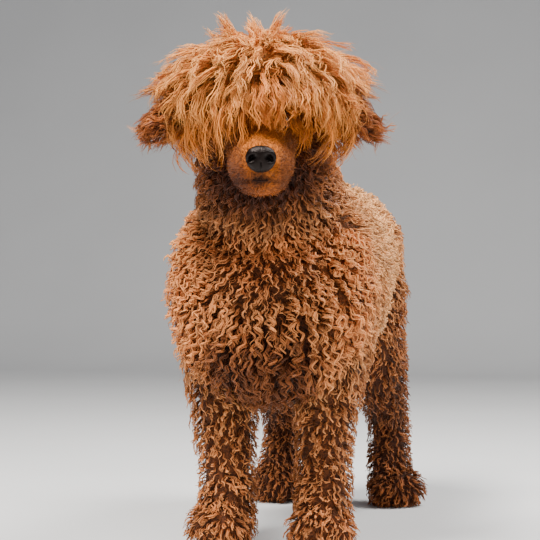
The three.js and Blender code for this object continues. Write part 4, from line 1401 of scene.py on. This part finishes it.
@dataclass
class Coat:
    """All hair: locks are guided by curled middle lines, and many strands gather into each.

    Attributes:
        skin: the skin that the hair is rooted in.
        seed: seed of its chance.
        triangles: how many have been made.
        rng: the source of chance.
        finish: the material that all hair shares.
    """

    skin: Skin
    seed: int = 7
    triangles: int = 0
    rng: np.random.Generator = field(init=False)
    finish: bpy.types.Material = field(init=False)

    RINGS = {
        Zone.BACK: 5, Zone.CHEST: 14, Zone.NECK: 9, Zone.LEG: 6, Zone.PAW: 4,
        Zone.TAIL: 6, Zone.TOPKNOT: 6, Zone.CHEEK: 5, Zone.MUZZLE: 2, Zone.EAR: 6,
    }  # fmt: skip
    LONG = (Zone.TOPKNOT, Zone.EAR, Zone.CHEEK, Zone.MUZZLE)
    SLOTS = {Zone.TOPKNOT: "topknot_coat", Zone.EAR: "ear_coat"}
    MOST = 195_000  # triangles in one piece
    # Painted shade and highlight along a strand: each channel's factor from the darkest root to the lightest
    # tip, paler in green and blue at the tip.
    SHADE_AT = (0, 0.35, 0.8, 1)  # from root to tip
    SHADE = ((0.15, 0.58, 1.22, 1.42), (0.1, 0.48, 1.24, 1.58), (0.07, 0.4, 1.26, 1.78))
    TONES = ((0.2, 1.0), (0.3, 0.12))  # spread of locks, and of strands, on the muzzle and elsewhere
    FULLNESS = (0.88, 1.12)  # least and most length of a lock, next to the coat's depth
    MOP_LEVEL = 0.93
    LOCK_REACH = 0.03  # farthest that a strand stands from its lock, in metres
    EYE_CLEAR, LIP_CLEAR, NOSE_CLEAR = 13.0, 2.2, 0.5  # room left round the eyes, lips and nose, in mm
    # milder painted shade and highlight on the mop and the muzzle
    SHADE_POWER = {Zone.TOPKNOT: 0.42, Zone.MUZZLE: 0.65}

    def __post_init__(self) -> None:
        """Seeds the chance and makes the material."""
        self.rng = np.random.default_rng(self.seed)
        self.finish = CoatFinish().material("coat", True)

    def clear_of_face(self, roots: Roots) -> Array:
        """A mask of the roots that leave the eyes, nose and lips free and stand off the floor."""
        own = moved(roots.at, HEAD.inverted())
        keep = roots.at[:, 2] > 0.006
        for sign in (-1, 1):
            eye = eye_lines(sign)[0] - [0, 3, 0]
            keep &= np.linalg.norm((own - eye) / (1.1, 1, 0.9), axis=1) > self.EYE_CLEAR
        x, y, z = own.T
        keep &= ~((np.abs(z - lip_level(x, y)) < self.LIP_CLEAR) & (y < -96) & (np.abs(x) < 15))
        nose = (own - np.array(NOSE_AT)) / (np.array(NOSE_HALF) + self.NOSE_CLEAR)
        return keep & (np.linalg.norm(nose, axis=1) > 1)

    def grow(self) -> None:
        """Grows the guides, then each layer of strands that gathers towards them."""
        g = self.skin.growth
        guides = scatter(self.skin, 100.0 / g.column("lock") ** 2, self.rng)
        guides = guides.only(self.clear_of_face(guides))
        level = self.rng.uniform(*self.FULLNESS, len(guides.at))
        paths = guide_paths(guides, self.rng, level)
        mop = guides.zone == Zone.TOPKNOT.value
        paths[mop] = Topknot().paths(guides.only(mop), self.rng, level[mop] * self.MOP_LEVEL)
        log.info("coat: %d locks", len(guides.at))
        for layer in (LOCKS, FRIZZ):
            self.grow_layer(layer, guides, paths)
        log.info("coat: %d triangles", self.triangles)

    def grow_layer(self, layer: Layer, guides: Roots, paths: Array) -> None:
        """Grows the strands of one layer and makes one mesh for each piece of the coat.

        A strand keeps its place beside its guide at the root and draws in to it towards the tip. Stray
        and ripple are added on top.

        Args:
            layer: how many strands there are and how they keep together.
            guides: roots of the locks.
            paths: middle lines of the locks.
        """
        rng = self.rng
        roots = scatter(self.skin, self.skin.growth.column("density") ** layer.even * layer.share, rng)
        roots = roots.only(self.clear_of_face(roots))
        pick, far = nearest(roots.at, guides.at)
        keep = (far < self.LOCK_REACH) & (dot(roots.normal, guides.normal[pick])[:, 0] > 0.2)
        roots, pick = roots.only(keep), pick[keep]
        n = len(pick)
        reach = rng.uniform(*layer.reach, n)
        x = np.linspace(0, 1, STEPS)[None, :] * reach[:, None] * (STEPS - 1)
        i = np.minimum(x.astype(int), STEPS - 2)
        f = (x - i)[..., None]
        guide = paths[pick[:, None], i] * (1 - f) + paths[pick[:, None], i + 1] * f
        s = np.linspace(0, 1, STEPS)[None, :, None]
        drawn_in = layer.gather * roots.column("gather")[:, None, None] * s**0.7
        apart = (roots.at - guides.at[pick])[:, None] * (1 - drawn_in)
        size = np.minimum(roots.height, 0.024)[:, None, None] * roots.column("loose")[:, None, None]
        stray = rng.normal(0, 1, (n, 1, 3)) * size * layer.loose * s**1.5
        ripple = rng.normal(0, 1, (n, 1, 3)) * np.sin(2 * np.pi * (s * 1.7 + rng.random((n, 1, 1))))
        line = guide + apart + stray + ripple * size * layer.loose * 0.35
        line[..., 2] = np.maximum(line[..., 2], 0.0015)
        by_lock, by_strand = (upright(np.where(roots.zone == Zone.MUZZLE.value, *pair)) for pair in self.TONES)
        tone = 1 + by_lock * rng.normal(0, 0.17, (len(guides.at), 1))[pick]
        tone = tone * (1 + by_strand * rng.normal(0, 1, (n, 1)))
        warm = rng.normal(0, 0.035, (n, 1)) * np.array([[-0.4, 0.3, 1.0]])
        colour = np.maximum(roots.colour * tone * (1 + warm), 0.002)
        roots.numbers[:, COLUMNS.index("width")] *= layer.width
        for name, zones in layer.pieces.items():
            index = np.flatnonzero(np.isin(roots.zone, [z.value for z in zones]))
            rings = layer.rings or self.RINGS[zones[0]]
            strand = Strand(rings=rings, blunt=0.3 if zones[0] in self.LONG else 1.0)
            parts = max(1, math.ceil(len(index) * (6 * rings - 2) / self.MOST))
            for k, chunk in enumerate(np.array_split(index, parts)):
                label = name if parts == 1 else f"{name}_{k + 1}"
                self.piece(label, strand, roots.only(chunk), line[chunk], colour[chunk], zones[0])

    def piece(self, name: str, strand: Strand, roots: Roots, line: Array, colour: Array, zone: Zone) -> None:
        """Makes one mesh of strands, with its colour, its strand map and its bake map.

        Args:
            name: name of the piece.
            strand: section to sweep.
            roots: the strands' roots.
            line: the strands' middle lines.
            colour: linear colour of each strand.
            zone: the zone whose strength of painted shade and highlight it takes.
        """
        n = len(roots.at)
        if not n:
            return
        width = roots.column("width") * 0.001 * self.rng.uniform(0.45, 1.3, n)
        points, faces, way_up, about = strand.sweep(line, roots.normal, width)
        points[:, 2] = np.maximum(points[:, 2], 0.0005)
        obj = make_mesh(name, points, faces)
        self.triangles += len(faces)
        per = len(way_up)
        # painted shade at the root and painted highlight at the tip of each strand
        shade = np.stack([np.interp(way_up, self.SHADE_AT, tone) for tone in self.SHADE], 1)
        shade = shade ** self.SHADE_POWER.get(zone, 1.0)
        lit = (colour[:, None] * shade[None]).reshape(-1, 3)
        paint(obj, lit / np.maximum(lit.max(1, keepdims=True) / 0.9, 1))
        own = np.stack([np.tile(about, n), np.tile(way_up, n)], 1)
        strand_map = own + np.repeat(self.rng.random((n, 2)) * 40, per, 0)
        add_map(obj, "Strand", strand_map)
        add_map(obj, "OFBake", np.repeat(roots.unrolled, per, 0) + (own - 0.5) * 0.003)
        obj.data.materials.append(self.finish)
        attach(obj, "root")
        log.info("%s: %d strands, %d triangles", name, n, len(faces))


@dataclass(frozen=True)
class GlossFinish:
    """Dark wet or leathery surfaces: nose leather, lid rims and lips.

    Attributes:
        colour: in steps of 0 to 255.
        roughness: roughness of the surface.
        grain: pebbles per metre.
        depth: depth of the gaps between them, in metres.
        mirror: strength of its reflection.
    """

    colour: Triple
    roughness: float
    grain: float
    depth: float
    mirror: float = 0.25

    def material(self, name: str) -> bpy.types.Material:
        """Pebbled leather: the cells of a Voronoi pattern give height, and a noise a little colour.

        Args:
            name: material name.

        Returns:
            The material.
        """
        mat, nodes, links, shader = blank(name)
        where = nodes.new("ShaderNodeTexCoord").outputs["Object"]
        cells = value_node(nodes, "ShaderNodeTexVoronoi", Scale=self.grain)
        noise = value_node(nodes, "ShaderNodeTexNoise", Scale=self.grain / 4)
        ramp = value_node(nodes, "ShaderNodeMapRange", To_Min=0.55, To_Max=1.5)
        tint = value_node(nodes, "ShaderNodeMix", data_type="RGBA", blend_type="MULTIPLY", Factor=1.0)
        tint.inputs["A"].default_value = (*linear(self.colour), 1)
        bump = value_node(nodes, "ShaderNodeBump", Strength=0.6, Distance=self.depth, invert=True)
        links.new(where, cells.inputs["Vector"])
        links.new(where, noise.inputs["Vector"])
        links.new(noise.outputs["Fac"], ramp.inputs["Value"])
        links.new(ramp.outputs[0], tint.inputs["B"])
        links.new(tint.outputs["Result"], shader.inputs["Base Color"])
        links.new(cells.outputs["Distance"], bump.inputs["Height"])
        links.new(bump.outputs[0], shader.inputs["Normal"])
        shader.inputs["Roughness"].default_value = self.roughness
        shader.inputs["Specular IOR Level"].default_value = self.mirror
        shader.inputs["Specular Tint"].default_value = (1.0, 0.82, 0.76, 1)
        return mat


@dataclass(frozen=True)
class Nose:
    """The nose leather: a squared pad with comma-shaped nostrils, side slits and the groove below.

    Attributes:
        around: faces round it.
        along: faces from front to back.
        square: power that squares an ellipsoid off, 1 for none.
        nostril_at: middle of the left nostril, sideways and up, in mm.
        nostril_half: its half width and half height.
        depths: how deep the nostrils, the slits and the groove sink, and how far the pads stand out, in mm.
    """

    around: int = 160
    along: int = 110
    square: float = 0.86
    nostril_at: tuple[float, float] = (11.8, 2.8)
    nostril_half: tuple[float, float] = (4.8, 4.2)
    depths: tuple[float, float, float, float] = (9.0, 3.2, 1.8, -0.9)

    def build(self) -> bpy.types.Object:
        """A squared ellipsoid whose surface sinks where the nostrils, slits and groove run.

        Returns:
            The nose piece.
        """
        u = np.linspace(0.02, np.pi - 0.02, self.along + 1)[:, None]
        a = np.linspace(0, 2 * np.pi, self.around, endpoint=False)[None, :]
        x, z = np.sin(u) * np.cos(a), np.sin(u) * np.sin(a)
        x, z = (np.sign(v) * np.abs(v) ** self.square for v in (x, z))
        y = -np.cos(u) + 0 * a
        narrow = 1 - 0.16 * smooth(0.2, -1.0, z)
        px, pz, py = x * NOSE_HALF[0] * narrow, z * NOSE_HALF[2], y * NOSE_HALF[1]
        front = smooth(0.1, -0.35, y)
        left = np.abs(px)
        (aside, high), (wide, tall) = self.nostril_at, self.nostril_half
        comma = np.exp(-(((left - aside) / wide) ** 2) - ((pz - high + 0.3 * (left - 12)) / tall) ** 2)
        slit_line = 0.5 - 0.5 * (left - 12)
        slit = np.exp(-(((pz - slit_line) / 1.25) ** 2)) * smooth(12, 15, left)
        groove = np.exp(-((px / 0.9) ** 2)) * smooth(1, -6, pz)
        pad = np.exp(-(((left - 10) / 7) ** 2) - ((pz - 11) / 4) ** 2)
        py = py + front * sum(depth * form for depth, form in zip(self.depths, (comma, slit, groove, pad)))
        grid = np.stack([px, py, pz], -1).reshape(-1, 3) + np.array(NOSE_AT)
        points, faces = capped(moved(grid, HEAD), tube_faces(self.along + 1, self.around), self.around)
        obj = make_mesh("nose_leather", points, outward(points, faces))
        obj.data.materials.append(GlossFinish((10, 5, 4), 0.32, 900, 0.0005, 0.17).material("nose_leather"))
        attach(obj, "root")
        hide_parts("nose")
        log.info("nose: %d faces", len(faces))
        return obj


def outward(points: Array, faces: Array) -> Array:
    """Faces of a closed body, turned round as one if its volume comes out negative."""
    a, b, c = (points[faces[:, k]] - points.mean(0) for k in range(3))
    return faces if (a * np.cross(b, c)).sum() > 0 else faces[:, ::-1]


@dataclass(frozen=True)
class Eye:
    """One eye with its lids: a ball with a dark brown iris under a clear bulge, and a rim of skin.

    Attributes:
        sign: 1 for the left eye, -1 for the right.
        around: points round the line of sight.
        rows: rings of the ball.
        lid_rows: rings on each face of the lids.
        cornea: height of its bulge in mm, and its reach in radians.
        lids: distance of the lids' inner and outer face from the eye, and how much the outer rises, in mm.
    """

    sign: int
    around: int = 72
    rows: int = 65
    lid_rows: int = 9
    cornea: tuple[float, float] = (0.55, 0.5)
    lids: Triple = (0.35, 1.5, 0.9)

    IRIS, PUPIL, WHITE = (86, 48, 22), (8, 5, 5), (46, 30, 24)

    @property
    def side(self) -> str:
        """The side's name."""
        return "left" if self.sign > 0 else "right"

    def rings(self, r: Array, off: Array, a: Array) -> Array:
        """Rings of points about the line of sight.

        Args:
            r: distance of each point from the eye's middle, in mm.
            off: its angle off the line of sight.
            a: its angle round it.

        Returns:
            The points in the row frame.
        """
        at, out = eye_lines(self.sign)
        side = unit(np.cross(out, [0, 0, 1.0]))
        up = np.cross(side, out)
        grid = (
            at
            + out * (r * np.cos(off))[..., None]
            + side * (r * np.sin(off) * np.cos(a))[..., None]
            + up * (r * np.sin(off) * np.sin(a))[..., None]
        )
        return moved(grid.reshape(-1, 3), HEAD)

    def ball(self) -> bpy.types.Object:
        """A ball of rings about the line of sight; the cornea bulges and the rings are painted."""
        around, rows = self.around, self.rows
        u = np.linspace(0.01, np.pi - 0.01, rows)[:, None]
        a = np.linspace(0, 2 * np.pi, around, endpoint=False)[None, :]
        bulge, reach = self.cornea
        r = EYE_R * 0.985 + bulge * np.exp(-((u / reach) ** 4)) + 0 * a
        points, faces = capped(self.rings(r, u, a), tube_faces(rows, around), around)
        obj = make_mesh(f"eyeball_{self.side}", points, outward(points, faces))
        ring = np.append(np.repeat(u[:, 0], around), [0.0, np.pi])
        spoke = np.append(np.tile(a[0], rows), [0.0, 0.0])
        fibre = 0.75 + 0.25 * np.sin(spoke * 23 + 3 * np.sin(spoke * 7))
        iris = linear(self.IRIS)[None] * fibre[:, None]
        pupil, white = linear(self.PUPIL), linear(self.WHITE)
        w1, w2 = smooth(0.2, 0.26, ring)[:, None], smooth(0.52, 0.6, ring)[:, None]
        colour = (pupil * (1 - w1) + iris * w1) * (1 - w2) + white * w2
        paint(obj, colour)
        mat, nodes, links, shader = blank(f"eye_gloss_{self.side}")
        read = value_node(nodes, "ShaderNodeAttribute", attribute_name="Coat")
        links.new(read.outputs["Color"], shader.inputs["Base Color"])
        shader.inputs["Roughness"].default_value = 0.06
        shader.inputs["Specular IOR Level"].default_value = 0.35
        shader.inputs["Coat Weight"].default_value = 0.4
        shader.inputs["Coat Roughness"].default_value = 0.03
        obj.data.materials.append(mat)
        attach(obj, "root")
        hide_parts(f"eye_{self.side}")
        return obj

    def rim(self) -> bpy.types.Object:
        """A thick ring of skin over the ball, open as an almond, thicker towards its rim."""
        around, rows = self.around, self.lid_rows
        a = np.linspace(0, 2 * np.pi, around, endpoint=False)[None, :]
        opening = 0.72 - 0.26 * np.abs(np.sin(a)) ** 1.3 + 0.05 * np.sin(a)
        v = np.linspace(0, 1, rows)[:, None]
        spread = opening + (1.45 - opening) * v
        near, far, rise = self.lids
        outer = EYE_R + far + rise * np.sin(np.pi * v * 0.5) + 0 * a
        r = np.concatenate([np.full_like(outer, EYE_R + near), outer])
        points = self.rings(r, np.concatenate([spread[::-1], spread]), a)
        faces = tube_faces(2 * rows + 1, around) % (2 * rows * around)
        tris = np.vstack([faces[:, [0, 1, 2]], faces[:, [0, 2, 3]]])
        obj = make_mesh(f"lids_{self.side}", points, outward(points, tris))
        obj.data.materials.append(GlossFinish((44, 26, 20), 0.5, 1400, 0.0003).material("lid_rim"))
        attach(obj, "root")
        return obj

    def build(self) -> None:
        """Makes the ball and its lids."""
        self.ball()
        self.rim()
        log.info("eye %s", self.side)


@dataclass(frozen=True)
class Lips:
    """The dark line of the mouth: a thin tapered roll of lip laid in the groove round the muzzle.

    Attributes:
        thick: half its width in the middle, in mm.
        bend: how far it runs round to each side, in degrees.
        along: points along it.
        around: points round it.
    """

    thick: float = 1.3
    bend: float = 158.0
    along: int = 121
    around: int = 12

    def build(self) -> bpy.types.Object:
        """A ring section carried round the front of the muzzle from one corner of the mouth to the other.

        Returns:
            The lips piece.
        """
        t = np.linspace(-1, 1, self.along)
        a = t * np.radians(self.bend)
        y = -153 + 74 * (1 - np.cos(a * 0.58))
        limb = np.array(MUZZLE.stations)
        wide = np.interp(-y, -limb[:, 1], limb[:, 3] + 1.0)
        x = np.sign(t) * np.minimum(np.abs(np.sin(a * 0.58)) * wide * 1.02, wide * 0.97)
        z = lip_level(x, y)
        line = np.stack([x, y + 0.6, z], 1)
        tangent = unit(np.gradient(line, axis=0))
        up = np.array([0, 0, 1.0])
        across = unit(np.cross(tangent, up))
        b = np.linspace(0, 2 * np.pi, self.around, endpoint=False)
        half = self.thick * (1 - 0.8 * np.abs(t) ** 0.8)[:, None, None]
        thick = np.cross(across, tangent)
        ring = across[:, None] * np.cos(b)[:, None] + thick[:, None] * (0.75 * np.sin(b))[:, None]
        points = moved((line[:, None] + half * ring).reshape(-1, 3), HEAD)
        points, faces = capped(points, tube_faces(self.along, self.around), self.around)
        obj = make_mesh("lips", points, outward(points, faces))
        obj.data.materials.append(GlossFinish((34, 19, 16), 0.7, 1200, 0.0003, 0.12).material("lip_skin"))
        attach(obj, "root")
        log.info("lips: %d faces", len(faces))
        return obj


@dataclass(frozen=True)
class Studio:
    """Floor, lights and camera. The camera's sizes are in the dog's mm, in pixels and in degrees.

    Attributes:
        azimuth: how far the camera stands round to the dog's left.
        distance: its distance from the dog's middle.
        height: its height.
        aside: how far it is shifted sideways.
        focal_px: its focal length in pixels.
        horizon_px: row of the picture at which it looks level.
        side_px: side of the picture.
    """

    azimuth: float = 13.0
    distance: float = 2420.0
    height: float = 390.0
    aside: float = -6.5
    focal_px: float = 1615.0
    horizon_px: float = 284.0
    side_px: float = 540.0

    def camera(self) -> None:
        """A long lens a little to the dog's left at chest height, level but for half a degree."""
        a = math.radians(self.azimuth)
        ahead = Vector((-math.sin(a), math.cos(a), (self.horizon_px - self.side_px / 2) / self.focal_px))
        at = Vector((math.sin(a), -math.cos(a), 0)) * self.distance
        at += Vector((math.cos(a), math.sin(a), 0)) * self.aside
        data = bpy.data.cameras.new("camera")
        data.sensor_width = 36.0
        data.lens = data.sensor_width * self.focal_px / self.side_px
        data.clip_end = 100
        cam = bpy.data.objects.new("camera", data)
        cam.location = ROW @ Vector((at.x, at.y, self.height))
        cam.rotation_euler = ahead.to_track_quat("-Z", "Y").to_euler()
        bpy.context.scene.collection.objects.link(cam)
        bpy.context.scene.camera = cam

    def floor(self) -> None:
        """A wide pale floor that curves up behind into a backdrop far off."""
        u = np.linspace(-16, 16, 60)
        v = np.linspace(-14, 9, 90)
        x, y = np.meshgrid(u, v)
        rise = np.maximum(0, y - 4.5)
        z = -0.0005 + rise**2 * 0.55
        faces = tube_faces(len(v), len(u), closed=False)[:, ::-1]
        floor = make_mesh("floor", np.stack([x, y, z], -1).reshape(-1, 3), faces)
        mat, nodes, links, shader = blank("pale_floor")
        where = nodes.new("ShaderNodeTexCoord")
        noise = value_node(nodes, "ShaderNodeTexNoise", Scale=2.0)
        links.new(where.outputs["Object"], noise.inputs["Vector"])
        tone = value_node(nodes, "ShaderNodeMapRange", To_Min=0.6, To_Max=0.66)
        links.new(noise.outputs["Fac"], tone.inputs["Value"])
        links.new(tone.outputs[0], shader.inputs["Base Color"])
        shader.inputs["Roughness"].default_value = 0.8
        floor.data.materials.append(mat)

    def lamp(self, name: str, at: Triple, size: float, watts: float, tint: Triple) -> None:
        """A square soft light that looks at the dog's chest.

        Args:
            name: its name.
            at: where it hangs, in metres.
            size: its side, in metres.
            watts: its power.
            tint: its colour.
        """
        data = bpy.data.lights.new(name, "AREA")
        data.shape = "SQUARE"
        data.size = size
        data.energy = watts
        data.color = tint
        lamp = bpy.data.objects.new(name, data)
        lamp.location = at
        lamp.rotation_euler = (Vector((0, 0, 0.45)) - Vector(at)).to_track_quat("-Z", "Y").to_euler()
        bpy.context.scene.collection.objects.link(lamp)

    def lights(self) -> None:
        """A broad key from above in front, a fill from the other side, a light behind and a pale sky."""
        self.lamp("key", (-0.8, -1.45, 3.3), 1.1, 325, (1.0, 0.97, 0.92))
        self.lamp("fill", (2.2, -2.2, 1.4), 2.0, 32, (1.0, 0.98, 0.96))
        self.lamp("behind", (1.5, 0.6, 2.8), 1.2, 150, (1.0, 0.98, 0.95))
        world = bpy.data.worlds.new("studio")
        bpy.context.scene.world = world
        world.use_nodes = True
        sky = world.node_tree.nodes["Background"]
        sky.inputs["Color"].default_value = (0.86, 0.9, 1.0, 1)
        sky.inputs["Strength"].default_value = 0.24

    def build(self) -> None:
        """Sets up the whole stage."""
        self.camera()
        self.floor()
        self.lights()
        log.info("studio set")


def main() -> None:
    """Builds the stage, the skin, the face and the coat, and writes how large all came out."""
    logging.basicConfig(level=logging.INFO, format="%(name)s %(message)s")
    Studio().build()
    skin = Skin()
    skin.dress()
    Nose().build()
    Lips().build()
    Eye(1).build()
    Eye(-1).build()
    Coat(skin).grow()


if __name__ == "__main__":
    main()
